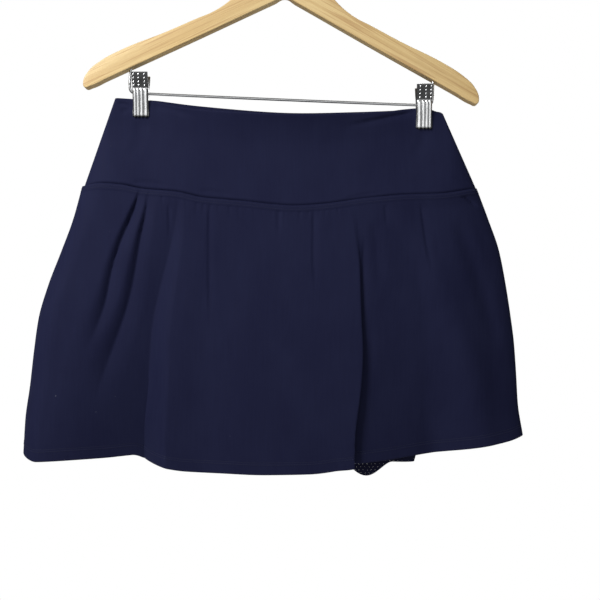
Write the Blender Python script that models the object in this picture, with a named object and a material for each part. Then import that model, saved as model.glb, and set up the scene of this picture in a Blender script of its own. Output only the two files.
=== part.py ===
"""A tennis skort hanging by its waistband from a wooden clip hanger.

Sizes are in millimetres, and each mesh is scaled to metres when it is made.
The origin is the point inside the hook where a rail carries the hanger. +Z is up,
the skort's front faces -Y, and +X is to the right of someone who looks at that front.
Left and right in a piece's name are the wearer's, so the wearer's left is at +X.
"""

import math

import bmesh
import bpy
import numpy as np
from mathutils import Matrix

MM = 0.001
GAP = 0.3  # between pieces that are sewn or pressed together

# --- cloth -------------------------------------------------------------------------
BAND_CLOTH = 2.0  # two layers of firm jersey
SKIRT_CLOTH = 1.0
HEM_CLOTH = 2.0  # the skirt's edge, turned up once
HEM_TURN = 12.0
SHORT_CLOTH = 1.0

# --- where the garment's edges end: (x, z) at the side seams -------------------------
WAIST_LEFT, WAIST_RIGHT = (-196.0, -216.5), (173.5, -233.5)
SEAM_LEFT, SEAM_RIGHT = (-230.5, -316.5), (210.5, -318.5)
HEM_LEFT, HEM_RIGHT = (-297.0, -613.5), (263.5, -596.5)

# The skirt's side outline, from the waist seam (0) down to the hem (1).
SIDES = (
    ("down", "left_x", "right_x"),
    (0.000, -233.0, 211.5),
    (0.125, -243.0, 224.5),
    (0.250, -256.5, 236.5),
    (0.375, -270.5, 243.5),
    (0.500, -281.0, 249.0),
    (0.625, -286.0, 253.5),
    (0.750, -290.0, 256.0),
    (0.875, -295.0, 258.0),
    (1.000, -297.0, 263.5),
)

# How far an edge lies above (+) or below (-) the straight line between its two ends.
# across is the share of the way from the side seam at -X to the one at +X.
WAIST_FRONT_SAG = (
    ("across", "rise"),
    (0.00, 0.0), (0.08, -0.2), (0.20, -5.5), (0.32, -8.4), (0.44, -9.1),
    (0.56, -8.2), (0.69, -5.4), (0.81, -1.6), (0.88, 1.3), (0.94, 3.5), (1.00, 0.0),
)
WAIST_BACK_SAG = (
    ("across", "rise"),
    (0.00, 0.0), (0.08, -0.2), (0.25, -3.5), (0.50, -5.5), (0.75, -1.5),
    (0.88, 1.6), (0.94, 3.5), (1.00, 0.0),
)
SEAM_FRONT_SAG = (
    ("across", "rise"),
    (0.00, 0.0), (0.05, 3.2), (0.10, 1.7), (0.16, -3.2), (0.24, -5.1), (0.31, -11.0),
    (0.40, -13.7), (0.54, -18.8), (0.61, -16.2), (0.72, -9.1), (0.82, -5.3),
    (0.90, -4.7), (1.00, 0.0),
)
SEAM_BACK_SAG = (
    ("across", "rise"),
    (0.00, 0.0), (0.10, -1.0), (0.30, -7.0), (0.50, -11.0), (0.70, -8.0),
    (0.90, -2.0), (1.00, 0.0),
)
HEM_FRONT_SAG = (
    ("across", "rise"),
    (0.00, 0.0), (0.04, -7.4), (0.10, -7.4), (0.17, -7.6), (0.22, -7.0), (0.25, -13.3),
    (0.28, -17.4), (0.33, -22.9), (0.41, -26.5), (0.49, -29.2), (0.57, -29.8),
    (0.63, -26.8), (0.66, -22.6), (0.73, -19.7), (0.78, -16.9), (0.87, -12.6),
    (0.92, -9.2), (0.97, -4.8), (1.00, 0.0),
)
HEM_BACK_SAG = (
    ("across", "rise"),
    (0.00, 0.0), (0.06, -6.0), (0.18, -6.5), (0.27, -13.0), (0.42, -20.0),
    (0.55, -18.5), (0.66, -21.0), (0.78, -14.0), (0.90, -8.5), (1.00, 0.0),
)

# How deep the tube is, front and back of the side seams, and how far from a side seam
# the cloth takes to turn round it.
BAND_DEPTH = (
    ("down", "front", "back", "turn"),
    (0.00, 2.3, 2.3, 3.0),
    (0.25, 2.3, 2.3, 4.0),
    (0.60, 7.0, 7.0, 20.0),
    (1.00, 14.0, 14.0, 40.0),
)
SKIRT_DEPTH = (
    ("down", "front", "back", "turn"),
    (0.00, 14.0, 14.0, 40.0),
    (0.10, 18.0, 17.5, 45.0),
    (0.30, 24.0, 22.0, 55.0),
    (0.60, 30.0, 27.0, 62.0),
    (1.00, 34.0, 30.0, 66.0),
)
BAND_BULGE = 6.5  # how far each side of the waistband's free top edge leans out
BULGE_FADE = 1.2  # above 1, the lean is mostly near the top edge
BAND_LEVELS = (0.0, 0.12, 0.25, 0.45, 0.7, 1.0)
BAND_COLUMNS = 31
SIDE_TURN_STEPS = 4  # columns in the stretch where the cloth turns round a side

# Folds: where each is across the panel, how deep it goes in (a minus brings it out) and
# how far it reaches towards -X, each told at the waist seam, halfway down and at the
# hem; then skew, its reach towards +X as a share of that.
FRONT_FOLDS = {
    "side_groove": ((0.125, 0.112, 0.100), (5.5, 2.5, 0.0), (7.0, 13.0, 20.0), 1.0),
    "inner_groove": ((0.152, 0.166, 0.130), (4.5, 7.0, 2.0), (8.0, 17.0, 26.0), 1.0),
    "left_valley": ((0.190, 0.205, 0.224), (0.0, 5.0, 24.0), (20.0, 36.0, 50.0), 0.36),
    "tuck_right": ((0.320, 0.315, 0.320), (2.5, 1.0, 0.0), (7.0, 14.0, 14.0), 1.6),
    "tuck_middle": ((0.580, 0.578, 0.580), (2.5, 1.0, 0.0), (7.0, 14.0, 14.0), 1.6),
    "tuck_left": ((0.846, 0.840, 0.840), (2.5, 1.0, 0.0), (7.0, 14.0, 14.0), 1.6),
    "pleat_shadow": ((0.692, 0.694, 0.674), (0.0, 6.0, 13.0), (10.0, 15.0, 17.0), 5.0),
    "pleat_valley": ((0.770, 0.780, 0.790), (0.0, 2.5, 8.0), (20.0, 36.0, 42.0), 1.0),
    "left_ridge": ((0.840, 0.895, 0.940), (-1.0, -5.0, -4.0), (18.0, 26.0, 30.0), 1.0),
    "middle_hollow": ((0.440, 0.440, 0.440), (0.0, 1.5, 3.5), (30.0, 52.0, 62.0), 1.0),
    "near_hollow": ((0.580, 0.585, 0.590), (0.0, 1.0, 2.0), (20.0, 34.0, 40.0), 1.0),
}
BACK_FOLDS = {
    "side_groove": ((0.110, 0.120, 0.130), (4.0, 4.0, 3.0), (9.0, 17.0, 28.0), 1.0),
    "first_valley": ((0.270, 0.255, 0.240), (2.0, 6.0, 15.0), (12.0, 30.0, 42.0), 0.7),
    "middle_valley": ((0.470, 0.480, 0.500), (2.5, 5.0, 11.0), (10.0, 26.0, 40.0), 1.2),
    "last_valley": ((0.700, 0.715, 0.735), (2.0, 7.0, 16.0), (12.0, 28.0, 40.0), 0.8),
    "left_groove": ((0.880, 0.885, 0.890), (3.5, 3.0, 2.0), (9.0, 16.0, 24.0), 1.0),
}
SEAM_HOLD = 0.06  # the share of the skirt's length in which the seam holds folds flat
SIDE_FADE = 1.5  # folds die out where the cloth turns round a side: more than 1 is later
ROW_SPREAD = 1.15  # above 1, rows are closer together near the seam
HEM_STEP = 0.8  # the height over which the turned hem thickens the cloth
FRONT_ROWS, BACK_ROWS = 11, 9
FRONT_COLUMNS, BACK_COLUMNS = 43, 37

# One front fold lies over its neighbour like a knife pleat.
PLEAT_ACROSS = (0.680, 0.684, 0.662)
PLEAT_OVERLAP = (0.0, 5.5, 9.5)
PLEAT_HALF_WIDTH = 17.0
PLEAT_PULL = 1.3
PLEAT_FROM, PLEAT_TO, PLEAT_COLUMNS = 0.665, 0.765, 19  # extra columns across it

# --- built-in short -----------------------------------------------------------------
CROTCH_DOWN = 0.60
CROTCH_CURVE = 0.16
LEGS = (
    ("down", "right_outer", "right_inner", "left_inner", "left_outer", "depth", "turn"),
    (0.00, -227.5, -10.0, -10.0, 207.5, 12.5, 36.0),
    (0.06, -225.0, -10.0, -10.0, 205.0, 9.0, 30.0),
    (0.35, -216.0, -10.0, -10.0, 196.0, 9.5, 26.0),
    (0.60, -196.0, -10.0, -10.0, 176.0, 11.0, 24.0),
    (1.00, -164.0, -22.0, 4.0, 141.0, 9.0, 20.0),
)
RIGHT_LEG_HEM = {"outer_z": -612.0, "inner_z": -624.0, "wave": 0.0}
LEFT_LEG_HEM = {"outer_z": -626.0, "inner_z": -622.0, "wave": 14.5}
LEG_WAVE_AT = 86.0  # x of the low point of the leg's front edge, which waves
LEG_WAVE_REACH = 30.0
LEG_LEVELS = (0.0, 0.06, 0.2, 0.34, 0.46, 0.54, 0.6, 0.72, 0.86, 1.0)
LEG_COLUMNS = 17

# --- hanger ------------------------------------------------------------------------
HANGER_TILT = math.radians(2.4)  # the end at +X hangs lower
WOOD_THICK = 12.0
WOOD_EDGE = 1.8
UNDERSIDE_PEAK_Z = -105.0
# Half of the wood's outline, from the middle of its underside round the tip to the
# middle of the neck's top, as distances from the underside's peak.
WOOD_HALF_OUTLINE = (
    (0.0, 0.0), (12.0, -6.5), (100.0, -52.0), (196.0, -101.0), (212.0, -109.0),
    (219.5, -108.5), (221.5, -100.0), (216.0, -87.0), (205.0, -77.0), (182.0, -64.0),
    (131.0, -40.0), (97.0, -23.5), (80.0, -16.5), (62.0, -4.0), (45.0, 14.0),
    (30.0, 30.0), (15.0, 38.0), (0.0, 40.0),
)
WIRE_HOOK_R = 1.9
HOOK_INSIDE_R = 19.0
HOOK_TIP_ANGLE, HOOK_SHANK_ANGLE = math.radians(200), math.radians(-35)
HOOK_SHANK_LINE = ((6.0, -44.0), (0.6, -56.0))  # (x, z) between the bend and the neck
HOOK_IN_WOOD = 20.0
WIRE_BAR_R = 1.5
BAR_Z = -218.0
BAR_HALF_LENGTH = 170.5
BAR_BEND_R = 6.0
BAR_IN_WOOD = 9.0
BORE_OVERRUN = 9.0  # how far a bore's cutter stands out of the wood
BORE_SIDES = 12

# --- clips --------------------------------------------------------------------------
CLIP_XS = {"right": -157.5, "left": 161.0}  # along the bar, in the hanger's own frame
CLIP_WIDTH = 18.0
BACK_LEVER_INSET = 1.4  # the back lever is this much narrower at each side
CLIP_STEEL = 0.9
CLIP_RIBS = 4
CLIP_RIB_DEPTH = 0.7
# A lever's inner face, from the gripping edge up to the finger plate: (its distance from
# the middle of the clip, its height above the bar).
LEVER = (
    (2.7, -27.0), (2.7, -20.0), (4.4, -12.0), (5.4, -3.0), (5.8, 4.0), (13.0, 24.5),
)
EAR_UP = (-5.0, 5.5)  # a lever's side ears reach from here to here along its height
EAR_CLEAR = 0.6
SPRING_R, SPRING_WIRE, SPRING_LENGTH = 3.4, 1.2, 11.0
SPRING_SIDES = 14


def material(name, colour, roughness, metallic=0.0):
    made = bpy.data.materials.new(name)
    made.use_nodes = True
    shader = made.node_tree.nodes["Principled BSDF"]
    shader.inputs["Base Color"].default_value = (*colour, 1.0)
    shader.inputs["Roughness"].default_value = roughness
    shader.inputs["Metallic"].default_value = metallic
    made.diffuse_color = (*colour, 1.0)
    return made


def shown(name, mesh, surface):
    """Puts a mesh in millimetres into the scene, in metres."""
    mesh.transform(Matrix.Scale(MM, 4))
    mesh.materials.clear()
    mesh.materials.append(surface)
    thing = bpy.data.objects.new(name, mesh)
    bpy.context.scene.collection.objects.link(thing)
    return thing


def column(table, name):
    """One column of a table whose first row names its columns."""
    number = table[0].index(name)
    return np.array([row[number] for row in table[1:]], float)


def smooth(knots, values, at):
    """The value at each place on a smooth curve through the knots, with no overshoot."""
    knots, values, at = (np.asarray(a, float) for a in (knots, values, at))
    runs = np.diff(values) / np.diff(knots)
    same_way = runs[:-1] * runs[1:] > 0
    mean = 2 * runs[:-1] * runs[1:] / np.where(same_way, runs[:-1] + runs[1:], 1.0)
    slopes = np.concatenate([runs[:1], np.where(same_way, mean, 0.0), runs[-1:]])
    i = np.clip(np.searchsorted(knots, at) - 1, 0, len(knots) - 2)
    step = knots[i + 1] - knots[i]
    t = np.clip((at - knots[i]) / step, 0.0, 1.0)
    from_start = values[i] * (1 + 2 * t) * (1 - t) ** 2 + slopes[i] * step * t * (1 - t) ** 2
    from_end = values[i + 1] * t**2 * (3 - 2 * t) + slopes[i + 1] * step * t**2 * (t - 1)
    return from_start + from_end


def at_level(table, names, down):
    """The values of some of a table's columns at a share of the way down."""
    knots = column(table, "down")
    return [float(smooth(knots, column(table, name), down)) for name in names]


def at_three(values, down):
    """A value told at the top, the middle and the bottom, at any share of the way down."""
    return float(smooth((0.0, 0.5, 1.0), values, down))


def between(a, b, share):
    return a + (b - a) * share


def quarter(share):
    """A quarter of a circle: 0 at 0, 1 at 1 and beyond, and upright where it starts."""
    return np.sqrt(1 - (1 - np.clip(share, 0.0, 1.0)) ** 2)


def bump(distance, reach_back, reach_on):
    share = np.clip(np.abs(distance) / np.where(distance < 0, reach_back, reach_on), 0, 1)
    return (1 - share**2) ** 2


# --- cloth walls ---------------------------------------------------------------------
def crosswise(width, turn, straight):
    """Distances from the side seam at -X: close together where the cloth turns round."""
    turning = turn * (1 - np.cos(np.linspace(0, math.pi / 2, SIDE_TURN_STEPS + 1)[:-1]))
    middle = turn + (width - 2 * turn) * straight
    return np.concatenate([turning, middle, (width - turning)[::-1]])


def inward(outer, side_signs):
    """Unit normals of a grid of points, pointing into the tube, and along X at its sides."""
    down, along = np.gradient(outer, axis=0), np.gradient(outer, axis=1)
    normal = np.cross(down, along)
    normal /= np.linalg.norm(normal, axis=2, keepdims=True)
    for edge, sign in zip((0, -1), side_signs):
        if sign:
            normal[:, edge] = (sign, 0, 0)
    return normal


def wall(name, outer, inner, surface):
    """A closed wall between two grids of points, as one mesh."""
    rows, columns = outer.shape[:2]
    made = bmesh.new()
    faces = [
        [[made.verts.new(point) for point in row] for row in grid] for grid in (outer, inner)
    ]
    for grid in faces:
        for i in range(rows - 1):
            for j in range(columns - 1):
                made.faces.new((grid[i][j], grid[i][j + 1], grid[i + 1][j + 1], grid[i + 1][j]))
    rim = [(0, j) for j in range(columns)] + [(i, columns - 1) for i in range(1, rows)]
    rim += [(rows - 1, j) for j in range(columns - 2, -1, -1)]
    rim += [(i, 0) for i in range(rows - 2, 0, -1)]
    for (i, j), (k, m) in zip(rim, rim[1:] + rim[:1]):
        made.faces.new((faces[0][i][j], faces[0][k][m], faces[1][k][m], faces[1][i][j]))
    bmesh.ops.recalc_face_normals(made, faces=made.faces)
    mesh = bpy.data.meshes.new(name)
    made.to_mesh(mesh)
    made.free()
    mesh.shade_smooth()
    mesh.set_sharp_from_angle(angle=math.radians(40))
    return shown(name, mesh, surface)


def panel(name, outer, thickness, facing, surface):
    """A front (facing -1) or back (+1) panel, clear of its neighbour at the side seams."""
    outer[:, :, 1] = facing * np.maximum(facing * outer[:, :, 1], GAP / 2)
    normal = inward(outer, (1, -1))
    if facing < 0:
        normal[:, 1:-1] *= -1
    inner = outer + normal * np.reshape(thickness, (-1, 1, 1))
    inner[:, :, 1] = facing * np.maximum(facing * inner[:, :, 1], GAP / 2)
    inner[:, :, 2] = outer[:, :, 2]
    return wall(name, outer, inner, surface)


def edge_rise(sag, across):
    return smooth(column(sag, "across"), column(sag, "rise"), across)


# --- waistband ------------------------------------------------------------------------
def clip_place(which):
    """Where a clip's middle lies on the bar, as (x, z)."""
    x, z = CLIP_XS[which], BAR_Z
    turn = HANGER_TILT
    return x * math.cos(turn) + z * math.sin(turn), z * math.cos(turn) - x * math.sin(turn)


def band_points(facing, waist_sag, seam_sag, straight):
    """The outside of half of the waistband, from its top edge down to the seam."""
    first, last = clip_place("right")[0] + CLIP_WIDTH, clip_place("left")[0] - CLIP_WIDTH
    rows = []
    for down in BAND_LEVELS:
        left_x = between(WAIST_LEFT[0], SEAM_LEFT[0], down)
        width = between(WAIST_RIGHT[0], SEAM_RIGHT[0], down) - left_x
        depth, turn = at_level(BAND_DEPTH, ("front" if facing < 0 else "back", "turn"), down)
        s = crosswise(width, turn, straight)
        across = s / width
        x = left_x + s
        z = between(
            between(WAIST_LEFT[1], WAIST_RIGHT[1], across) + edge_rise(waist_sag, across),
            between(SEAM_LEFT[1], SEAM_RIGHT[1], across) + edge_rise(seam_sag, across) + GAP / 2,
            down,
        )
        free = np.clip((x - first) / (last - first), 0, 1)
        bulge = BAND_BULGE * (1 - down) ** BULGE_FADE * np.sin(math.pi * free) ** 2
        y = facing * (depth * quarter(s / turn) * quarter((width - s) / turn) + bulge)
        rows.append(np.stack([x, y, z], axis=1))
    return np.array(rows)


# --- skirt ----------------------------------------------------------------------------
def fold_depth(folds, across, width, down):
    """How far all the folds push the cloth in at one level."""
    total = np.zeros_like(across)
    for place, depth, reach, skew in folds.values():
        here = at_three(reach, down)
        distance = (across - at_three(place, down)) * width
        total += at_three(depth, down) * bump(distance, here, here * skew)
    held = np.clip(down / SEAM_HOLD, 0, 1)
    return total * held * held * (3 - 2 * held)


def pleat_shift(across, width, down):
    """How far sideways the overlapping fold carries the cloth at one level."""
    w = np.clip((across - at_three(PLEAT_ACROSS, down)) * width / PLEAT_HALF_WIDTH, -1, 1)
    overlap = max(at_three(PLEAT_OVERLAP, down), 0.0)
    return -PLEAT_PULL * overlap * np.sin(math.pi * w) * (1 - w**2)


def skirt_points(facing, levels, straight, seam_sag, hem_sag, folds, overlapping):
    """The outside of half of the skirt, from the waist seam down to the hem."""
    rows = []
    for down in levels:
        left_x, right_x = at_level(SIDES, ("left_x", "right_x"), down)
        width = right_x - left_x
        deep, turn = at_level(SKIRT_DEPTH, ("front" if facing < 0 else "back", "turn"), down)
        s = crosswise(width, turn, straight)
        across = s / width
        z = between(
            between(SEAM_LEFT[1], SEAM_RIGHT[1], across) + edge_rise(seam_sag, across) - GAP / 2,
            between(HEM_LEFT[1], HEM_RIGHT[1], across) + edge_rise(hem_sag, across),
            down,
        )
        rounded = quarter(s / turn) * quarter((width - s) / turn)
        folded = fold_depth(folds, across, width, down) * np.minimum(rounded * SIDE_FADE, 1)
        depth = deep * rounded - folded
        x = left_x + s
        if overlapping:
            x = x + pleat_shift(across, width, down)
        rows.append(np.stack([x, facing * depth, z], axis=1))
    return np.array(rows)


def skirt_levels(count):
    """Levels down the skirt, and the cloth's thickness there, with a step at the hem."""
    length = (SEAM_LEFT[1] + SEAM_RIGHT[1] - HEM_LEFT[1] - HEM_RIGHT[1]) / 2
    turned = 1 - HEM_TURN / length
    above = turned * np.linspace(0, 1, count) ** ROW_SPREAD
    levels = np.concatenate([above, [turned + HEM_STEP / length, 1.0]])
    thickness = [SKIRT_CLOTH] * count + [HEM_CLOTH] * 2
    return levels, thickness


# --- built-in short ---------------------------------------------------------------------
def leg_points(which, hem):
    """The outside of one leg: front from the inner edge to the side, then back again."""
    shares = 0.5 - 0.5 * np.cos(np.linspace(0, math.pi, LEG_COLUMNS))
    rows = []
    for down in LEG_LEVELS:
        outer_x, inner_x, depth, turn = at_level(
            LEGS, (f"{which}_outer", f"{which}_inner", "depth", "turn"), down
        )
        side = math.copysign(1.0, outer_x - inner_x)
        inner_x += side * GAP / 2
        x = between(inner_x, outer_x, shares)
        from_outer, from_inner = np.abs(outer_x - x), np.abs(x - inner_x)
        joined = float(np.clip((CROTCH_DOWN - down) / CROTCH_CURVE, 0, 1))
        opening = math.sqrt(1 - (1 - joined) ** 2)
        inner_cap = between(quarter(from_inner / turn), 1.0, opening)
        y = np.maximum(depth * quarter(from_outer / turn) * inner_cap, GAP / 2)
        seam = (x - SEAM_LEFT[0]) / (SEAM_RIGHT[0] - SEAM_LEFT[0])
        straight_line = between(SEAM_LEFT[1], SEAM_RIGHT[1], seam)
        hem_z = between(hem["inner_z"], hem["outer_z"], shares)
        wave = hem["wave"] * bump(x - LEG_WAVE_AT, LEG_WAVE_REACH, LEG_WAVE_REACH)
        halves = []
        for facing, sag, dip in ((-1, SEAM_FRONT_SAG, wave), (1, SEAM_BACK_SAG, 0.0)):
            top_z = straight_line + edge_rise(sag, seam) - GAP / 2
            level = between(top_z, hem_z - dip, down)
            halves.append(np.stack([x, facing * y, level], axis=1))
        front, back = halves
        outermost = (front[-1:] + back[-1:]) / 2
        rows.append(np.concatenate([front[:-1], outermost, back[-2::-1]]))
    return np.array(rows)


def leg(which, hem, surface):
    outer = leg_points(which, hem)
    normal = inward(outer, (0, 0))
    if outer[0, outer.shape[1] // 2, 0] > outer[0, 0, 0]:
        normal *= -1
    normal[:, (0, -1), 0] = 0
    inner = outer + SHORT_CLOTH * normal / np.linalg.norm(normal, axis=2, keepdims=True)
    half = outer.shape[1] // 2
    inner[:, :half, 1] = np.minimum(inner[:, :half, 1], -GAP / 2)
    inner[:, half + 1 :, 1] = np.maximum(inner[:, half + 1 :, 1], GAP / 2)
    inner[:, :, 2] = outer[:, :, 2]
    return wall(f"short_leg_{which}", outer, inner, surface)


# --- hanger -------------------------------------------------------------------------
def tilted(thing):
    """Turns a piece of the hanger about the rail, as the whole hanger hangs."""
    thing.data.transform(Matrix.Rotation(HANGER_TILT, 4, "Y"))
    return thing


def as_mesh(thing, name):
    """The evaluated shape of an object as a new mesh in millimetres, with its points merged."""
    graph = bpy.context.evaluated_depsgraph_get()
    mesh = bpy.data.meshes.new_from_object(thing.evaluated_get(graph))
    mesh.name = name
    bpy.data.objects.remove(thing)
    welded = bmesh.new()
    welded.from_mesh(mesh)
    bmesh.ops.remove_doubles(welded, verts=welded.verts, dist=0.001)
    bmesh.ops.recalc_face_normals(welded, faces=welded.faces)
    welded.to_mesh(mesh)
    welded.free()
    return mesh


def rounded(mesh, angle=35):
    mesh.shade_smooth()
    mesh.set_sharp_from_angle(angle=math.radians(angle))
    return mesh


def wire(name, points, radius, surface, sides=2, resolution=3):
    """A round wire along a smooth line through the points."""
    line = bpy.data.curves.new(name, "CURVE")
    line.dimensions = "3D"
    line.bevel_depth = radius
    line.bevel_resolution = sides
    line.resolution_u = resolution
    line.use_fill_caps = True
    spline = line.splines.new("BEZIER")
    spline.bezier_points.add(len(points) - 1)
    for knot, place in zip(spline.bezier_points, points):
        knot.co = place
        knot.handle_left_type = knot.handle_right_type = "AUTO"
    thing = bpy.data.objects.new(name, line)
    bpy.context.scene.collection.objects.link(thing)
    return tilted(shown(name, rounded(as_mesh(thing, name)), surface))


def wood_mesh(name):
    """The flat wooden arms: one closed outline, with its edges rounded."""
    half = WOOD_HALF_OUTLINE
    outline = [(x, z) for x, z in half] + [(-x, z) for x, z in half[-2:0:-1]]
    board = bpy.data.curves.new(name, "CURVE")
    board.dimensions = "2D"
    board.fill_mode = "BOTH"
    board.extrude = WOOD_THICK / 2 - WOOD_EDGE
    board.bevel_depth = WOOD_EDGE
    board.bevel_resolution = 1
    board.offset = -WOOD_EDGE
    board.resolution_u = 3
    spline = board.splines.new("BEZIER")
    spline.use_cyclic_u = True
    spline.bezier_points.add(len(outline) - 1)
    for knot, (x, z) in zip(spline.bezier_points, outline):
        knot.co = (x, z, 0)
        knot.handle_left_type = knot.handle_right_type = "AUTO"
    thing = bpy.data.objects.new(name, board)
    bpy.context.scene.collection.objects.link(thing)
    mesh = as_mesh(thing, name)
    upright = Matrix.Rotation(math.radians(90), 4, "X")
    mesh.transform(Matrix.Translation((0, 0, UNDERSIDE_PEAK_Z)) @ upright)
    return mesh


def cutter(name, radius, low, high, x):
    """A round upright cutter between two heights, in the hanger's own frame."""
    made = bmesh.new()
    place = Matrix.Translation((x, 0, (low + high) / 2))
    bmesh.ops.create_cone(
        made, cap_ends=True, segments=BORE_SIDES, radius1=radius, radius2=radius,
        depth=high - low, matrix=place,
    )
    mesh = bpy.data.meshes.new(name)
    made.to_mesh(mesh)
    made.free()
    thing = tilted(shown(name, mesh, WOOD))
    thing.hide_render = True
    thing.display_type = "WIRE"
    return thing


def underside_z(x):
    """The height of the arms' underside at a distance from the middle."""
    slope = (WOOD_HALF_OUTLINE[3][1] - WOOD_HALF_OUTLINE[1][1]) / (
        WOOD_HALF_OUTLINE[3][0] - WOOD_HALF_OUTLINE[1][0]
    )
    return UNDERSIDE_PEAK_Z + WOOD_HALF_OUTLINE[1][1] + slope * (abs(x) - WOOD_HALF_OUTLINE[1][0])


def hanger_wood():
    board = tilted(shown("hanger_wood", rounded(wood_mesh("hanger_wood")), WOOD))
    neck_top = UNDERSIDE_PEAK_Z + WOOD_HALF_OUTLINE[-1][1]
    hook_end = neck_top - HOOK_IN_WOOD
    bores = [cutter("hook_bore", WIRE_HOOK_R + GAP, hook_end - GAP, neck_top + BORE_OVERRUN, 0)]
    for side in (-1, 1):
        x = side * BAR_HALF_LENGTH
        bores.append(
            cutter(
                f"bar_bore_{side}", WIRE_BAR_R + GAP, underside_z(x) - BORE_OVERRUN,
                underside_z(x) + BAR_IN_WOOD + GAP, x,
            )
        )
    for bore in bores:
        cut = board.modifiers.new(bore.name, "BOOLEAN")
        cut.operation = "DIFFERENCE"
        cut.object = bore


def hanger_hook():
    """A wire hook: a round bend over the rail, then a shank down into the neck."""
    bend_r = HOOK_INSIDE_R + WIRE_HOOK_R
    points = []
    for angle in np.linspace(HOOK_TIP_ANGLE, HOOK_SHANK_ANGLE, 9):
        points.append((bend_r * math.cos(angle), 0, -HOOK_INSIDE_R + bend_r * math.sin(angle)))
    neck_top = UNDERSIDE_PEAK_Z + WOOD_HALF_OUTLINE[-1][1]
    points += [(x, 0, z) for x, z in HOOK_SHANK_LINE]
    points += [(0, 0, neck_top), (0, 0, neck_top - HOOK_IN_WOOD)]
    wire("hanger_hook", points, WIRE_HOOK_R, STEEL)


def hanger_bar():
    """The wire bar: straight across, and bent up into the wood at both ends."""
    points = []
    for side in (-1, 1):
        x = side * BAR_HALF_LENGTH
        end = [(x, 0, underside_z(x) + BAR_IN_WOOD), (x, 0, BAR_Z + BAR_BEND_R)]
        for angle in (30, 60, 90):
            turn = math.radians(angle)
            back = BAR_BEND_R * (1 - math.cos(turn))
            end.append((x - side * back, 0, BAR_Z + BAR_BEND_R * (1 - math.sin(turn))))
        points += end if side < 0 else end[::-1]
    wire("hanger_bar", points, WIRE_BAR_R, STEEL)


def lever_points(side, narrower):
    """The inner and outer faces of a clip lever as grids, ribbed from side to side."""
    half = CLIP_WIDTH / 2 - narrower
    ribs = np.linspace(-half, half, 2 * CLIP_RIBS + 1)
    x = np.concatenate([[-half], ribs, [half]])
    crest = np.array([0, *(k % 2 for k in range(2 * CLIP_RIBS + 1)), 0], float)
    inner_rows, outer_rows = [], []
    for out, up in LEVER:
        ear = EAR_UP[0] <= up <= EAR_UP[1]
        y_in = np.full_like(x, out)
        y_out = out + CLIP_STEEL + CLIP_RIB_DEPTH * crest
        x_in = np.clip(x, -half + CLIP_STEEL, half - CLIP_STEEL)
        if ear:
            y_in[[0, -1]] = y_out[[0, -1]] = WIRE_BAR_R + EAR_CLEAR
        else:
            y_in[[0, -1]] = out - 0.02
            y_out[[0, -1]] = out
        z = np.full_like(x, up)
        inner_rows.append(np.stack([x_in, side * y_in, z], axis=1))
        outer_rows.append(np.stack([x, side * y_out, z], axis=1))
    return np.array(inner_rows), np.array(outer_rows)


def clip(which):
    """A sprung clip: two ribbed levers and the coil between them, hanging upright."""
    x, z = clip_place(which)
    place = np.array([x, 0, z])
    for side, face, narrower in ((-1, "front", 0.0), (1, "back", BACK_LEVER_INSET)):
        inner, outer = lever_points(side, narrower)
        wall(f"clip_{which}_{face}_lever", outer + place, inner + place, STEEL)
    made = bmesh.new()
    spring = bmesh.ops.create_cone(
        made, segments=SPRING_SIDES, radius1=SPRING_R, radius2=SPRING_R, depth=SPRING_LENGTH
    )
    bmesh.ops.rotate(made, verts=spring["verts"], matrix=Matrix.Rotation(math.pi / 2, 3, "Y"))
    mesh = bpy.data.meshes.new("spring")
    made.to_mesh(mesh)
    made.free()
    mesh.transform(Matrix.Translation((CLIP_XS[which], 0, BAR_Z)))
    coil = tilted(shown(f"clip_{which}_spring", rounded(mesh), STEEL))
    sleeve = coil.modifiers.new("wall", "SOLIDIFY")
    sleeve.thickness = SPRING_WIRE * MM
    sleeve.offset = -1


for thing in list(bpy.data.objects):
    bpy.data.objects.remove(thing)

NAVY = material("navy_jersey", (0.018, 0.019, 0.052), 0.75)
MESH = material("navy_mesh", (0.020, 0.021, 0.055), 0.70)
WOOD = material("pale_wood", (0.62, 0.42, 0.20), 0.45)
STEEL = material("chromed_steel", (0.75, 0.75, 0.76), 0.12, 1.0)

evenly = np.linspace(0, 1, BAND_COLUMNS)
near_pleat = np.linspace(PLEAT_FROM, PLEAT_TO, PLEAT_COLUMNS)
front_columns = np.sort(np.concatenate([np.linspace(0, 1, FRONT_COLUMNS), near_pleat]))
back_columns = np.linspace(0, 1, BACK_COLUMNS)
front_band = band_points(-1, WAIST_FRONT_SAG, SEAM_FRONT_SAG, evenly)
panel("waistband_front", front_band, [BAND_CLOTH] * len(front_band), -1, NAVY)
back_band = band_points(1, WAIST_BACK_SAG, SEAM_BACK_SAG, evenly)
panel("waistband_back", back_band, [BAND_CLOTH] * len(back_band), 1, NAVY)
levels, thickness = skirt_levels(FRONT_ROWS)
skirt = skirt_points(
    -1, levels, front_columns, SEAM_FRONT_SAG, HEM_FRONT_SAG, FRONT_FOLDS, True
)
panel("skirt_front", skirt, thickness, -1, NAVY)
levels, thickness = skirt_levels(BACK_ROWS)
skirt = skirt_points(
    1, levels, back_columns, SEAM_BACK_SAG, HEM_BACK_SAG, BACK_FOLDS, False
)
panel("skirt_back", skirt, thickness, 1, NAVY)
leg("right", RIGHT_LEG_HEM, MESH)
leg("left", LEFT_LEG_HEM, MESH)
hanger_wood()
hanger_hook()
hanger_bar()
for which in CLIP_XS:
    clip(which)
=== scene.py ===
"""A tennis skort clipped by its waistband to a wooden hanger.

Sizes are in millimetres unless a name says otherwise, and every mesh is made in metres.
+Z is up, the skort's front faces -Y, and the hook's rail runs through the origin.
"""

import math
import random

import bpy
import numpy as np
from mathutils import Matrix, Vector


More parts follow.
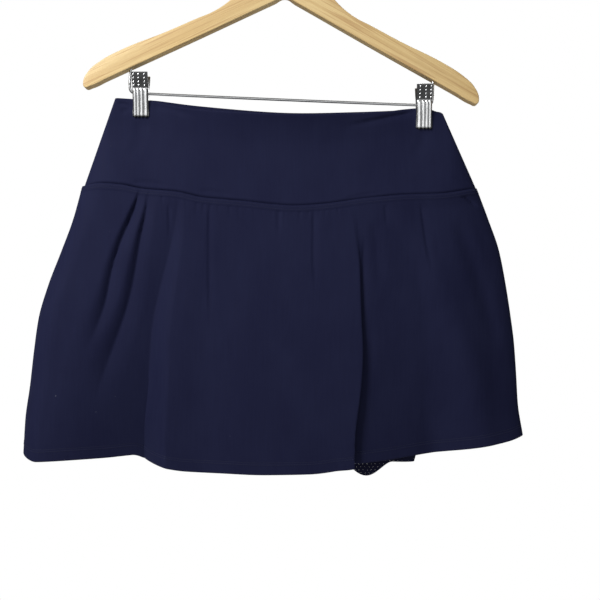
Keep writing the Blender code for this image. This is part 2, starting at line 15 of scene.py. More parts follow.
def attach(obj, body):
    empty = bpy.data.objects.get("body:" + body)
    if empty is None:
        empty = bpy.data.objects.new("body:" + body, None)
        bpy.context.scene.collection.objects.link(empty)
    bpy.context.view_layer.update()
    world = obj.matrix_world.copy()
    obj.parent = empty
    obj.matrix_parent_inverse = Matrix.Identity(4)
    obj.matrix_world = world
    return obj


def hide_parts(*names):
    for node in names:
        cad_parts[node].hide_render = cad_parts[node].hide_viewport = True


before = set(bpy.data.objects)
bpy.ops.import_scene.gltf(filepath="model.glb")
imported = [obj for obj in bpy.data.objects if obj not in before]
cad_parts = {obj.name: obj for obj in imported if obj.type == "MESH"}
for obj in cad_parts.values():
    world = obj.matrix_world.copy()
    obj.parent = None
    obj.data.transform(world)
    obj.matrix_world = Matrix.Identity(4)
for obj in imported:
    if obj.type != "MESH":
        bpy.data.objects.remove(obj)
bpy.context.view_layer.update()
bpy.ops.object.select_all(action="DESELECT")

# --- Hanger arms ---------------------------------------------------------------------
# One flat board of pale beech, sawn to a wishbone with rounded ends and a short neck,
# its edges eased, sanded and lacquered clear. It hangs a little down at the wearer's left.
MM = 0.001
TILT = math.radians(2.4)
BOARD_THICK = 15.0
BOARD_EASE = 1.1
UNDERSIDE_PEAK_Z = -105.0
NECK_HEIGHT = 40.0
CURVE_STEPS = 14
# Half of the outline, from the middle of the underside round the tip to the neck's top,
# as (along, up) from the underside's peak.
HALF_OUTLINE = (
    (0.0, 1.0), (12.0, -5.0), (100.0, -50.5), (196.0, -99.5), (213.5, -108.5),
    (220.3, -110.0), (222.0, -104.5), (216.0, -91.0), (204.5, -80.5), (182.0, -67.0),
    (131.0, -44.0), (97.0, -27.5), (80.0, -19.5), (62.0, -6.5), (45.0, 12.0),
    (30.0, 28.5), (15.0, 37.5), (0.0, NECK_HEIGHT),
)
# The two ends of an arm's straight underside, and its slope.
ARM_FROM, ARM_TO = (12.0, -6.5), (196.0, -101.0)
ARM_SLOPE = math.atan2(ARM_FROM[1] - ARM_TO[1], ARM_TO[0] - ARM_FROM[0])


def finish_piece(thing, surface, slot, *nodes):
    """Gives a finished piece its material, and ties it to the frame."""
    thing.data.materials.clear()
    thing.data.materials.append(surface)
    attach(thing, "root")
    if nodes:
        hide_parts(*nodes)
    return thing


def curve_to_mesh(thing, name, turn=None, smooth_angle=35.0):
    """Makes a curve a clean mesh in metres, in its place, with its points merged."""
    bpy.ops.object.select_all(action="DESELECT")
    thing.select_set(True)
    bpy.context.view_layer.objects.active = thing
    bpy.ops.object.convert(target="MESH")
    thing = bpy.context.view_layer.objects.active
    thing.name = name
    thing.data.transform((turn or Matrix.Identity(4)) @ thing.matrix_world)
    thing.data.transform(Matrix.Scale(MM, 4))
    thing.matrix_world = Matrix.Identity(4)
    bpy.ops.object.mode_set(mode="EDIT")
    bpy.ops.mesh.select_all(action="SELECT")
    bpy.ops.mesh.remove_doubles(threshold=1e-6)
    bpy.ops.mesh.normals_make_consistent(inside=False)
    bpy.ops.object.mode_set(mode="OBJECT")
    bpy.ops.object.shade_smooth_by_angle(angle=math.radians(smooth_angle))
    bpy.ops.object.select_all(action="DESELECT")
    return thing


def bezier(name, points, closed=False):
    """A smooth curve through the points, in millimetres."""
    bpy.ops.curve.primitive_bezier_curve_add(location=(0, 0, 0))
    thing = bpy.context.object
    thing.name = name
    thing.data.resolution_u = CURVE_STEPS
    spline = thing.data.splines[0]
    spline.use_cyclic_u = closed
    spline.bezier_points.add(len(points) - len(spline.bezier_points))
    for knot, place in zip(spline.bezier_points, points):
        knot.handle_left_type = knot.handle_right_type = "AUTO"
        knot.co = place
    return thing


def blank_material(name, colour, roughness, metallic=0.0):
    """A material, its nodes, its links and its shader."""
    made = bpy.data.materials.new(name)
    made.use_nodes = True
    made.diffuse_color = (*colour, 1.0)
    nodes, links = made.node_tree.nodes, made.node_tree.links
    shader = nodes["Principled BSDF"]
    shader.inputs["Base Color"].default_value = (*colour, 1.0)
    shader.inputs["Roughness"].default_value = roughness
    shader.inputs["Metallic"].default_value = metallic
    return made, nodes, links, shader


def maths(tree, operation, *values, clamp=False):
    """A Math node whose inputs are sockets or numbers; returns its output."""
    node = tree.nodes.new("ShaderNodeMath")
    node.operation = operation
    node.use_clamp = clamp
    for socket, value in zip(node.inputs, values):
        if isinstance(value, bpy.types.NodeSocket):
            tree.links.new(value, socket)
        else:
            socket.default_value = value
    return node.outputs[0]


def noise(tree, vector, scale, detail=2.0, roughness=0.5):
    node = tree.nodes.new("ShaderNodeTexNoise")
    node.inputs["Scale"].default_value = scale
    node.inputs["Detail"].default_value = detail
    node.inputs["Roughness"].default_value = roughness
    tree.links.new(vector, node.inputs["Vector"])
    return node.outputs["Fac"]


def spread(tree, value, from_low, from_high, to_low, to_high):
    """Maps a value smoothly from one range to another."""
    node = tree.nodes.new("ShaderNodeMapRange")
    node.interpolation_type = "SMOOTHSTEP"
    tree.links.new(value, node.inputs["Value"])
    for name, number in zip(
        ("From Min", "From Max", "To Min", "To Max"), (from_low, from_high, to_low, to_high)
    ):
        node.inputs[name].default_value = number
    return node.outputs["Result"]


def mixed(tree, share, first, second):
    """A colour between two colours, each a socket or three numbers."""
    node = tree.nodes.new("ShaderNodeMix")
    node.data_type = "RGBA"
    inputs = [s for s in node.inputs if s.type == "RGBA"]
    factor = node.inputs["Factor"]
    for socket, value in ((factor, share), (inputs[0], first), (inputs[1], second)):
        if isinstance(value, bpy.types.NodeSocket):
            tree.links.new(value, socket)
        elif isinstance(value, (int, float)):
            socket.default_value = value
        else:
            socket.default_value = (*value, 1.0)
    return next(s for s in node.outputs if s.type == "RGBA")


def bump_normal(tree, height, distance, strength=1.0):
    node = tree.nodes.new("ShaderNodeBump")
    node.inputs["Distance"].default_value = distance
    node.inputs["Strength"].default_value = strength
    tree.links.new(height, node.inputs["Height"])
    return node.outputs["Normal"]


def beech_material():
    """Lacquered beech: growth lines along each arm, fine pores and short flecks."""
    made, nodes, links, shader = blank_material("pale_beech", (0.74, 0.52, 0.26), 0.42)
    tree = made.node_tree
    place = nodes.new("ShaderNodeTexCoord")
    upright = nodes.new("ShaderNodeMapping")
    upright.inputs["Rotation"].default_value = (0.0, -TILT, 0.0)
    links.new(place.outputs["Object"], upright.inputs["Vector"])
    parts = nodes.new("ShaderNodeSeparateXYZ")
    links.new(upright.outputs["Vector"], parts.inputs["Vector"])
    folded = nodes.new("ShaderNodeCombineXYZ")
    links.new(maths(tree, "ABSOLUTE", parts.outputs["X"]), folded.inputs["X"])
    # The two arms are cut from different parts of the board, so their figures differ.
    side = maths(tree, "GREATER_THAN", parts.outputs["X"], 0.0)
    links.new(maths(tree, "MULTIPLY_ADD", side, 0.37, parts.outputs["Y"]), folded.inputs["Y"])
    links.new(parts.outputs["Z"], folded.inputs["Z"])
    along = nodes.new("ShaderNodeMapping")
    along.inputs["Rotation"].default_value = (0.0, -ARM_SLOPE, 0.0)
    links.new(folded.outputs["Vector"], along.inputs["Vector"])

    def stretched(x, y, z):
        node = nodes.new("ShaderNodeVectorMath")
        node.operation = "MULTIPLY"
        node.inputs[1].default_value = (x, y, z)
        links.new(along.outputs["Vector"], node.inputs[0])
        return node.outputs["Vector"]

    figure = noise(tree, stretched(1.1, 24.0, 36.0), 1.0, 2.0, 0.5)
    rings = maths(tree, "SINE", maths(tree, "MULTIPLY", figure, 46.0))
    lines = spread(tree, rings, -0.2, 1.0, 0.0, 1.0)
    pores = noise(tree, stretched(70.0, 900.0, 1100.0), 1.0, 2.0, 0.6)
    flecks = noise(tree, stretched(12.0, 400.0, 620.0), 1.0, 1.0)
    flecks = spread(tree, flecks, 0.53, 0.64, 0.0, 1.0)
    cloudy = noise(tree, stretched(5.0, 8.0, 8.0), 1.0, 2.0)
    cloudy = spread(tree, cloudy, 0.3, 0.7, 0.0, 1.0)
    warm = mixed(tree, cloudy, (0.80, 0.600, 0.285), (0.75, 0.525, 0.220))
    lined = mixed(tree, maths(tree, "MULTIPLY", lines, 0.45), warm, (0.57, 0.360, 0.135))
    flecked = mixed(tree, maths(tree, "MULTIPLY", flecks, 0.62), lined, (0.50, 0.29, 0.11))
    pored = spread(tree, pores, 0.35, 0.75, 0.0, 0.16)
    links.new(mixed(tree, pored, flecked, (0.42, 0.25, 0.10)), shader.inputs["Base Color"])
    links.new(spread(tree, pores, 0.3, 0.7, 0.36, 0.50), shader.inputs["Roughness"])
    links.new(bump_normal(tree, pores, 0.00012), shader.inputs["Normal"])
    shader.inputs["Coat Weight"].default_value = 0.25
    shader.inputs["Coat Roughness"].default_value = 0.22
    return made


hanging = Matrix.Rotation(TILT, 4, "Y")
outline = [(x, y, 0.0) for x, y in HALF_OUTLINE]
outline += [(-x, y, 0.0) for x, y in HALF_OUTLINE[-2:0:-1]]
board = bezier("hanger_arms", outline, closed=True)
board.data.dimensions = "2D"
board.data.fill_mode = "BOTH"
board.data.extrude = BOARD_THICK / 2 - BOARD_EASE
board.data.bevel_depth = BOARD_EASE
board.data.bevel_resolution = 4
board.data.offset = -BOARD_EASE
stand_up = Matrix.Translation((0, 0, UNDERSIDE_PEAK_Z)) @ Matrix.Rotation(math.pi / 2, 4, "X")
board = curve_to_mesh(board, "hanger_arms", hanging @ stand_up)
beech = beech_material()
finish_piece(board, beech, "pale_wood", "hanger_wood")

# --- Hook ----------------------------------------------------------------------------
# A bent steel wire, plated bright, with a round bend that sits over the rail and a
# shank that goes down into the neck through a small pressed collar.
HOOK_WIRE_R = 1.9
HOOK_INSIDE_R = 19.0
HOOK_TIP = math.radians(200)
HOOK_SHANK = math.radians(-35)
HOOK_NECK = ((6.0, -44.0), (0.6, -56.0))  # (x, z) where the bend runs into the shank
SHANK_IN_WOOD = 16.0
COLLAR_R, COLLAR_HEIGHT, COLLAR_EASE = 4.6, 1.6, 0.6
neck_top = UNDERSIDE_PEAK_Z + NECK_HEIGHT


def node_group(name, vector, numbers_in, numbers_out):
    """A node group with one vector input, some numbers in and some out, and its ends."""
    group = bpy.data.node_groups.new(name, "ShaderNodeTree")
    group.interface.new_socket(name=vector, in_out="INPUT", socket_type="NodeSocketVector")
    for way, names in (("INPUT", numbers_in), ("OUTPUT", numbers_out)):
        for number in names:
            group.interface.new_socket(name=number, in_out=way, socket_type="NodeSocketFloat")
    return group, group.nodes.new("NodeGroupInput"), group.nodes.new("NodeGroupOutput")


def wear_group():
    """Fine scuffs and handling marks for bright metal: a mask for colour and for gloss."""
    group, came, gone = node_group("handling_marks", "Vector", ["Scale"], ["Scuffs", "Cloud"])
    scaled = group.nodes.new("ShaderNodeVectorMath")
    scaled.operation = "SCALE"
    group.links.new(came.outputs["Vector"], scaled.inputs[0])
    group.links.new(came.outputs["Scale"], scaled.inputs["Scale"])
    fine = noise(group, scaled.outputs["Vector"], 5.0, 4.0, 0.7)
    wide = noise(group, scaled.outputs["Vector"], 0.7, 2.0, 0.5)
    group.links.new(spread(group, fine, 0.52, 0.72, 0.0, 1.0), gone.inputs["Scuffs"])
    group.links.new(spread(group, wide, 0.3, 0.7, 0.0, 1.0), gone.inputs["Cloud"])
    return group


handling_marks = wear_group()


def bright_metal(name, colour, worn_colour, smooth, scuffed):
    """Plated steel: mirror-like, with duller handling marks."""
    made, nodes, links, shader = blank_material(name, colour, smooth, 1.0)
    place = nodes.new("ShaderNodeTexCoord")
    marks = nodes.new("ShaderNodeGroup")
    marks.node_tree = handling_marks
    marks.inputs["Scale"].default_value = 160.0
    links.new(place.outputs["Object"], marks.inputs["Vector"])
    worn = maths(made.node_tree, "MULTIPLY", marks.outputs["Scuffs"], 0.6)
    links.new(mixed(made.node_tree, worn, colour, worn_colour), shader.inputs["Base Color"])
    gloss = maths(made.node_tree, "MULTIPLY_ADD", marks.outputs["Cloud"], scuffed - smooth, smooth)
    links.new(gloss, shader.inputs["Roughness"])
    scratched = bump_normal(made.node_tree, marks.outputs["Scuffs"], 0.00002)
    links.new(scratched, shader.inputs["Normal"])
    return made


chrome = bright_metal("bright_chrome", (0.56, 0.57, 0.58), (0.40, 0.40, 0.41), 0.12, 0.26)


def steel_wire(name, points, radius, turn=None, rings=5, steps=10):
    """A round wire along a smooth line through the points."""
    line = bezier(name, points)
    line.data.bevel_depth = radius
    line.data.bevel_resolution = rings
    line.data.resolution_u = steps
    line.data.use_fill_caps = True
    return curve_to_mesh(line, name, turn)


bend_r = HOOK_INSIDE_R + HOOK_WIRE_R
hook_line = [
    (bend_r * math.cos(angle), 0, -HOOK_INSIDE_R + bend_r * math.sin(angle))
    for angle in np.linspace(HOOK_TIP, HOOK_SHANK, 9)
]
hook_line += [(x, 0, z) for x, z in HOOK_NECK]
hook_line += [(0, 0, neck_top), (0, 0, neck_top - SHANK_IN_WOOD)]
hook = steel_wire("hook_wire", hook_line, HOOK_WIRE_R, hanging)
bpy.ops.mesh.primitive_cylinder_add(
    vertices=40, radius=COLLAR_R * MM, depth=COLLAR_HEIGHT * MM,
    location=(0, 0, (neck_top + COLLAR_HEIGHT / 2 - COLLAR_EASE) * MM),
)
collar = bpy.context.object
ease = collar.modifiers.new("eased rim", "BEVEL")
ease.width, ease.segments, ease.limit_method = COLLAR_EASE * MM, 3, "ANGLE"
bpy.ops.object.modifier_apply(modifier=ease.name)
collar.data.transform(hanging @ collar.matrix_world)
collar.matrix_world = Matrix.Identity(4)
bpy.ops.object.select_all(action="DESELECT")
collar.select_set(True)
hook.select_set(True)
bpy.context.view_layer.objects.active = hook
bpy.ops.object.join()
bpy.ops.object.shade_smooth_by_angle(angle=math.radians(35))
finish_piece(hook, chrome, "chromed_steel", "hanger_hook")

# --- Clip bar ------------------------------------------------------------------------
# One straight steel wire under the arms, both ends bent up and pushed into the wood.
BAR_R = 1.5
BAR_Z = -218.0
BAR_HALF = 170.5
BAR_BEND = 6.0
BAR_IN_WOOD = 7.0
bar_line = []
for side in (-1, 1):
    top = UNDERSIDE_PEAK_Z + ARM_FROM[1] - math.tan(ARM_SLOPE) * (BAR_HALF - ARM_FROM[0])
    end = [(side * BAR_HALF, 0, top + BAR_IN_WOOD), (side * BAR_HALF, 0, BAR_Z + BAR_BEND)]
    for turned in (30, 60, 90):
        angle = math.radians(turned)
        back = BAR_BEND * (1 - math.cos(angle))
        end.append((side * (BAR_HALF - back), 0, BAR_Z + BAR_BEND * (1 - math.sin(angle))))
    bar_line += end if side < 0 else end[::-1]
bar = steel_wire("bar_wire", bar_line, BAR_R, hanging)
finish_piece(bar, chrome, "chromed_steel", "hanger_bar")

# --- Clips ---------------------------------------------------------------------------
# Each clip is two pressed steel levers with a coil spring between them, round the bar.
# The gripping half is ribbed, the finger plate is dimpled, and the jaws end in teeth.
CLIP_XS = {"right": -157.5, "left": 161.0}
CLIP_WIDTH = 18.0
STEEL_THICK = 0.9
RIBS, RIB_HEIGHT, RIB_SKEW = 4, 1.0, 0.28
FLANGE_DEPTH, CORNER_R = 3.4, 0.8
EARS_FROM, EARS_TO = (-22.0, -8.0), (6.0, 13.0)  # heights where the side ears grow and fade
STUD_ROWS, STUD_PITCH, STUDS_ABOVE = 4, 3.8, 4.0
STUD_XS = (5.0, -1.6, -7.2)  # the first is towards the middle of the bar
STUD_R, STUD_SLANT, STUD_SHAPE = 1.25, 28.0, (0.62, 0.75, 1.35)
FACE_SHARE = 0.8  # of the sheet's width: the rest bends back at the sides
TEETH_UP, TOOTH = -25.8, 1.3
# A lever's inner face as (distance from the clip's middle, height above the bar).
LEVER = (
    (2.45, -28.0), (2.75, -26.0), (3.3, -19.0), (4.3, -11.0), (5.3, -3.0), (5.9, 3.5),
    (8.2, 10.5), (12.2, 21.5),
)
PLATE_FROM = 3.6  # the finger plate begins this far above the bar
COIL_R, COIL_WIRE_R, COIL_LENGTH = 2.75, 0.55, 11.0
COIL_TURNS, COIL_POINTS = 9, 12


def smooth(knots, values, at):
    """The value at each place on a smooth curve through the knots, with no overshoot."""
    knots, values, at = (np.asarray(a, float) for a in (knots, values, at))
    runs = np.diff(values) / np.diff(knots)
    same_way = runs[:-1] * runs[1:] > 0
    mean = 2 * runs[:-1] * runs[1:] / np.where(same_way, runs[:-1] + runs[1:], 1.0)
    slopes = np.concatenate([runs[:1], np.where(same_way, mean, 0.0), runs[-1:]])
    i = np.clip(np.searchsorted(knots, at) - 1, 0, len(knots) - 2)
    step = knots[i + 1] - knots[i]
    t = np.clip((at - knots[i]) / step, 0.0, 1.0)
    from_start = values[i] * (1 + 2 * t) * (1 - t) ** 2 + slopes[i] * step * t * (1 - t) ** 2
    from_end = values[i + 1] * t**2 * (3 - 2 * t) + slopes[i + 1] * step * t**2 * (t - 1)
    return from_start + from_end


def ramp(value, low, high):
    """0 below low, 1 above high, and smooth between."""
    t = np.clip((np.asarray(value, float) - low) / (high - low), 0, 1)
    return t * t * (3 - 2 * t)


def turned_outwards(thing, smooth_angle):
    """Turns a closed piece's faces outwards, and shades it smooth up to an angle."""
    bpy.context.view_layer.objects.active = thing
    bpy.ops.object.mode_set(mode="EDIT")
    bpy.ops.mesh.select_all(action="SELECT")
    bpy.ops.mesh.normals_make_consistent(inside=False)
    bpy.ops.object.mode_set(mode="OBJECT")
    bpy.ops.object.shade_smooth_by_angle(angle=math.radians(smooth_angle))
    bpy.ops.object.select_all(action="DESELECT")
    return thing


def clip_place(which):
    """Where the middle of a clip is, as (x, z), on the bar as it hangs."""
    x, z = CLIP_XS[which], BAR_Z
    return x * math.cos(TILT) + z * math.sin(TILT), z * math.cos(TILT) - x * math.sin(TILT)


pressed_chrome = bright_metal("pressed_chrome", (0.97, 0.98, 0.99), (0.84, 0.84, 0.85), 0.24, 0.36)
pressed_tree = pressed_chrome.node_tree
# Painted shade: the levers' rib grooves, finger plates and toothed edges are painted near-black,
# standing in for the dark reflections and shade there.
hollows = pressed_tree.nodes.new("ShaderNodeAttribute")
hollows.attribute_name = "painted_shade_mask"
metal = pressed_tree.nodes["Principled BSDF"].inputs["Base Color"]
polished = metal.links[0].from_socket
painted_dark_chrome = mixed(pressed_tree, hollows.outputs["Fac"], polished, (0.035, 0.036, 0.038))
pressed_tree.links.new(painted_dark_chrome, metal)


def lever(name, side, half, place, inwards):
    """One pressed lever: a ribbed plate, its edges bent back as flanges, studs on top.

    Its widest rib is on the side that faces inwards, to the middle of the bar.
    """
    outs, ups = zip(*LEVER)
    bpy.ops.mesh.primitive_grid_add(x_subdivisions=80, y_subdivisions=56, size=2.0)
    plate = bpy.context.object
    plate.name = name
    grid = np.empty(len(plate.data.vertices) * 3)
    plate.data.vertices.foreach_get("co", grid)
    across, along = grid.reshape(-1, 3)[:, 0], grid.reshape(-1, 3)[:, 1]
    up = ups[0] + (ups[-1] - ups[0]) * (along + 1) / 2
    face = np.clip(across / FACE_SHARE, -1, 1)
    bent = np.clip((np.abs(across) - FACE_SHARE) / (1 - FACE_SHARE), 0, 1)
    corner = np.sin(np.minimum(bent * 3, 1) * math.pi / 2)
    x = face * (half - CORNER_R) + np.sign(across) * CORNER_R * corner
    flange = FLANGE_DEPTH * ramp(up, *EARS_FROM) * (1 - ramp(up, *EARS_TO)) + STEEL_THICK
    y = smooth(ups, outs, up) + STEEL_THICK
    ribbed = (1 - ramp(up, PLATE_FROM - 1, PLATE_FROM + 1)) * (1 - bent)
    share = (1 + inwards * face) / 2
    hollow = 0.5 + 0.5 * np.cos(2 * math.pi * RIBS * share * (1 + RIB_SKEW - RIB_SKEW * share))
    y += ribbed * RIB_HEIGHT * (1 - hollow**3)
    y -= bent * flange
    # The teeth: the edge turns in, and is notched between the ribs.
    notch = (1 - ramp(up, ups[0], TEETH_UP)) * hollow
    up = up + TOOTH * notch
    points = np.stack([x, side * y, up], axis=1) + np.array(place)
    plate.data.vertices.foreach_set("co", (points * MM).ravel())
    # Painted shade mask: near-black in the grooves between ribs, over the finger plate and along
    # the teeth.
    rib_groove = hollow**5 * (1 - bent)
    gripping = 1 - ramp(up, PLATE_FROM - 1, PLATE_FROM + 1)
    in_plate = (1 - gripping) * ramp(up, PLATE_FROM, PLATE_FROM + 1.5)
    dark = np.clip(0.8 * rib_groove * gripping + 0.85 * in_plate, 0, 1)
    dark = np.maximum(dark * (1 - ramp(up, 20.6, 21.3)), 1 - ramp(up, -26.8, -24.2))
    plate.data.attributes.new("painted_shade_mask", "FLOAT", "POINT").data.foreach_set("value", dark)
    wall = plate.modifiers.new("sheet", "SOLIDIFY")
    wall.thickness = STEEL_THICK * MM
    wall.offset = 1.0 if side > 0 else -1.0
    bpy.context.view_layer.objects.active = plate
    bpy.ops.object.modifier_apply(modifier=wall.name)
    studs = []
    for row in range(STUD_ROWS):
        for stud_at in STUD_XS:
            stud_up = PLATE_FROM + STUDS_ABOVE + row * STUD_PITCH
            stud_x = inwards * stud_at * half / (CLIP_WIDTH / 2)
            stud_y = side * (float(smooth(ups, outs, stud_up)) + STEEL_THICK - 0.1)
            bpy.ops.mesh.primitive_uv_sphere_add(segments=12, ring_count=7, radius=STUD_R * MM)
            stud = bpy.context.object
            stud.data.transform(Matrix.Diagonal((*STUD_SHAPE, 1.0)))
            stud.data.transform(Matrix.Rotation(math.radians(STUD_SLANT), 4, "Y"))
            stud.data.transform(
                Matrix.Translation(Vector((stud_x, stud_y, stud_up)) * MM + Vector(place) * MM)
            )
            studs.append(stud)
    bpy.ops.object.select_all(action="DESELECT")
    for stud in studs:
        stud.select_set(True)
    plate.select_set(True)
    bpy.context.view_layer.objects.active = plate
    bpy.ops.object.join()
    return turned_outwards(plate, 40.0)


for which in CLIP_XS:
    clip_x, clip_z = clip_place(which)
    for side, face, half in ((-1, "front", CLIP_WIDTH / 2), (1, "back", CLIP_WIDTH / 2 - 0.6)):
        name = f"clip_{which}_{face}_lever"
        made = lever(name + "_steel", side, half, (clip_x, 0, clip_z), -math.copysign(1, clip_x))
        finish_piece(made, pressed_chrome, "chromed_steel", name)
    coil = []
    for turned in np.linspace(0, 1, COIL_TURNS * COIL_POINTS + 1):
        angle = 2 * math.pi * COIL_TURNS * turned
        coil.append((
            CLIP_XS[which] + COIL_LENGTH * (turned - 0.5),
            COIL_R * math.sin(angle), BAR_Z + COIL_R * math.cos(angle),
        ))
    spring = steel_wire(f"clip_{which}_coil", coil, COIL_WIRE_R, hanging, rings=2, steps=2)
    finish_piece(spring, chrome, "chromed_steel", f"clip_{which}_spring")

# --- Waistband -----------------------------------------------------------------------
# A wide, firm band of navy jersey, doubled, with its fold at the top edge. The clips
# grip it near both ends, so between them its edge sags and leans out a little.
GAP = 0.04  # between two pieces that a seam joins
BAND_CLOTH = 2.0
WAIST_LEFT, WAIST_RIGHT = (-196.0, -216.5), (173.5, -233.5)
SEAM_LEFT, SEAM_RIGHT = (-230.5, -316.5), (210.5, -318.5)
# How far an edge lies above (+) or below (-) the straight line between its two ends.
WAIST_SAG = {
    "front": (
        ("across", "rise"),
        (0.00, 0.0), (0.08, -0.6), (0.20, -8.0), (0.32, -11.4), (0.44, -12.4),
        (0.56, -11.4), (0.69, -8.2), (0.81, -3.2), (0.88, 1.6), (0.94, 4.4), (1.00, 0.0),
    ),
    "back": (
        ("across", "rise"),
        (0.00, 0.0), (0.08, -0.2), (0.25, -3.5), (0.50, -5.5), (0.75, -1.5),
        (0.88, 1.6), (0.94, 3.5), (1.00, 0.0),
    ),
}
SEAM_SAG = {
    "front": (
        ("across", "rise"),
        (0.00, 0.0), (0.05, 3.0), (0.10, 1.7), (0.16, -3.2), (0.24, -6.0),
        (0.31, -12.4), (0.40, -15.8), (0.54, -21.0), (0.61, -19.0), (0.72, -12.2),
        (0.82, -8.2), (0.90, -7.0), (1.00, 0.0),
    ),
    "back": (
        ("across", "rise"),
        (0.00, 0.0), (0.10, -1.0), (0.30, -7.0), (0.50, -11.0), (0.70, -8.0),
        (0.90, -2.0), (1.00, 0.0),
    ),
}
BAND_DEPTH = (
    ("down", "deep", "turn"), (0.00, 2.3, 3.0), (0.25, 2.3, 4.0), (0.60, 7.0, 20.0),
    (1.00, 14.0, 40.0),
)
BAND_BULGE = 11.0  # the band stands forward between the clips
BAND_LENGTH, BAND_COLUMNS, BAND_TURNING = 92.0, 190, 14
LIP_ROLL, LIP_REACH = 2.0, 20.0  # the top edge rolls outwards between the clips
SEAM_ROLL, SEAM_REACH = 1.5, 2.8  # cloth turns in towards a seam over this distance
TURNINGS_UP, TURNINGS_DOWN, TURNINGS_IN, TURNINGS_CLOTH = 3.0, 6.5, 2.3, 0.7
TURNINGS_SHARE = 0.985  # their width as a share of the seam's
# Creases, each a path of (x, z) down the cloth, with how deep it goes in, how far it
# spreads towards -X and towards +X, and how round its bottom is (0 is a sharp line). Two
# numbers for a spread are those at the path's start and its end.
BAND_CREASES = {
    "front": (
        (((-192.3, -222.3), (-183.3, -224.3), (-176.3, -228.3)), 1.3, 3.0, 4.0, 0.0),
        (((-189.3, -232.8), (-181.3, -229.8), (-175.8, -227.8)), 0.7, 4.0, 4.0, 1.0),
        (((-154.4, -224.8), (-134.5, -228.8), (-104.6, -238.7)), 0.9, 6.0, 5.0, 1.0),
        (((142.5, -231.8), (120.6, -236.3), (91.7, -242.8), (59.8, -249.9)), 2.2, 3.5, 8.0, 0.2),
        (((161.5, -229.8), (167.4, -232.8), (174.4, -243.8)), 0.8, 4.0, 4.0, 0.6),
        (((150.3, -253.0), (148.1, -267.2), (138.9, -287.4)), 0.8, 9.0, 12.0, 1.0),
        (((-166.3, -240.7), (-168.9, -263.1), (-178.3, -289.4)), 0.8, 10.0, 12.0, 1.0),
        (((-173.8, -312.6), (-154.0, -313.6), (-132.2, -318.6)), 1.1, 3.5, 5.0, 0.7),
        (((-99.6, -322.6), (-81.8, -324.0), (-61.1, -328.5)), 1.0, 3.0, 4.5, 0.7),
        (((59.4, -332.4), (87.0, -326.5), (110.7, -323.1)), 0.6, 5.0, 3.5, 1.0),
        (((184.1, -306.5), (195.8, -311.6), (205.6, -315.6)), 0.8, 4.0, 4.0, 0.6),
    ),
    "back": (
        (((143.0, -232.0), (118.0, -238.0), (82.0, -246.0)), 1.4, 3.5, 7.0, 0.3),
        (((-156.0, -225.0), (-128.0, -232.0), (-92.0, -241.0)), 1.7, 3.5, 8.0, 0.3),
        (((-150.0, -313.0), (-128.0, -316.0), (-100.0, -319.0)), 0.9, 4.0, 4.5, 0.8),
        (((40.0, -324.0), (66.0, -321.0), (92.0, -318.0)), 0.8, 4.0, 4.0, 0.8),
        (((0.0, -262.0), (-4.0, -284.0), (-2.0, -306.0)), 0.7, 16.0, 18.0, 1.0),
    ),
}
WALE, COURSE = 0.72, 0.56  # the jersey's columns and rows of stitches
NAVY = (0.0106, 0.0121, 0.0385)
DEEP_NAVY = (0.0072, 0.0082, 0.0300)
SOFT_NAVY = (0.0155, 0.0180, 0.0500)


def column(table, name):
    """One column of a table whose first row names its columns."""
    number = table[0].index(name)
    return np.array([row[number] for row in table[1:]], float)


def at_level(table, names, down):
    """The values of some of a table's columns at a share of the way down."""
    knots = column(table, "down")
    return [float(smooth(knots, column(table, name), down)) for name in names]


def between(a, b, share):
    """A value at a share of the way from one to another."""
    return a + (b - a) * share


def quarter(share):
    """A quarter of a circle: 0 at 0, 1 at 1 and beyond, and upright where it starts."""
    return np.sqrt(1 - (1 - np.clip(share, 0.0, 1.0)) ** 2)


def edge_z(left, right, sag, across):
    """The height of an edge that sags between its two ends."""
    line = between(left[1], right[1], across)
    return line + smooth(column(sag, "across"), column(sag, "rise"), across)


def crosswise(width, turns, turning, middle):
    """Distances from the side seam at -X: close together where the cloth turns round."""
    quarter_turn = 1 - np.cos(np.linspace(0, math.pi / 2, turning + 1)[:-1])
    near, far = turns[0] * quarter_turn, width - turns[1] * quarter_turn[::-1]
    return np.concatenate([near, np.linspace(turns[0], width - turns[1], middle), far])


def crease_depth(x, z, creases):
    """How far in a set of creases carries the cloth at each point of a grid."""
    total = np.zeros_like(x)
    for path, depth, near, far, roundness in creases:
        path = np.array(path, float)
        done = np.concatenate([[0], np.cumsum(np.hypot(*np.diff(path, axis=0).T))])
        fine = np.linspace(0, done[-1], 4 * len(path))
        path = np.stack([smooth(done, path[:, k], fine) for k in (0, 1)], axis=1)
        runs = np.diff(path, axis=0)
        lengths = np.hypot(*runs.T)
        done = np.concatenate([[0], np.cumsum(lengths)])
        closest = np.full(x.shape, 1e9)
        side, along = np.zeros_like(x), np.zeros_like(x)
        for k, (run, length) in enumerate(zip(runs, lengths)):
            dx, dz = x - path[k, 0], z - path[k, 1]
            t = np.clip((dx * run[0] + dz * run[1]) / length**2, 0, 1)
            away = np.hypot(dx - t * run[0], dz - t * run[1])
            here = away < closest
            closest = np.where(here, away, closest)
            side = np.where(here, dz * run[0] - dx * run[1], side)
            along = np.where(here, (done[k] + t * length) / done[-1], along)
        near_here, far_here = (np.interp(along, (0, 1), np.resize(w, 2)) for w in (near, far))
        spread_to = np.where(side < 0, near_here, far_here)
        share = np.clip(closest / spread_to, 0, 1)
        sharp, soft = (1 - share) ** 2.2, (1 - share**2) ** 2
        fade = ramp(along, -0.02, 0.16) * (1 - ramp(along, 0.62, 1.01))
        total += depth * fade * between(sharp, soft, roundness)
    return total


def unit(vectors):
    """Vectors of length one."""
    return vectors / np.maximum(np.linalg.norm(vectors, axis=-1, keepdims=True), 1e-9)


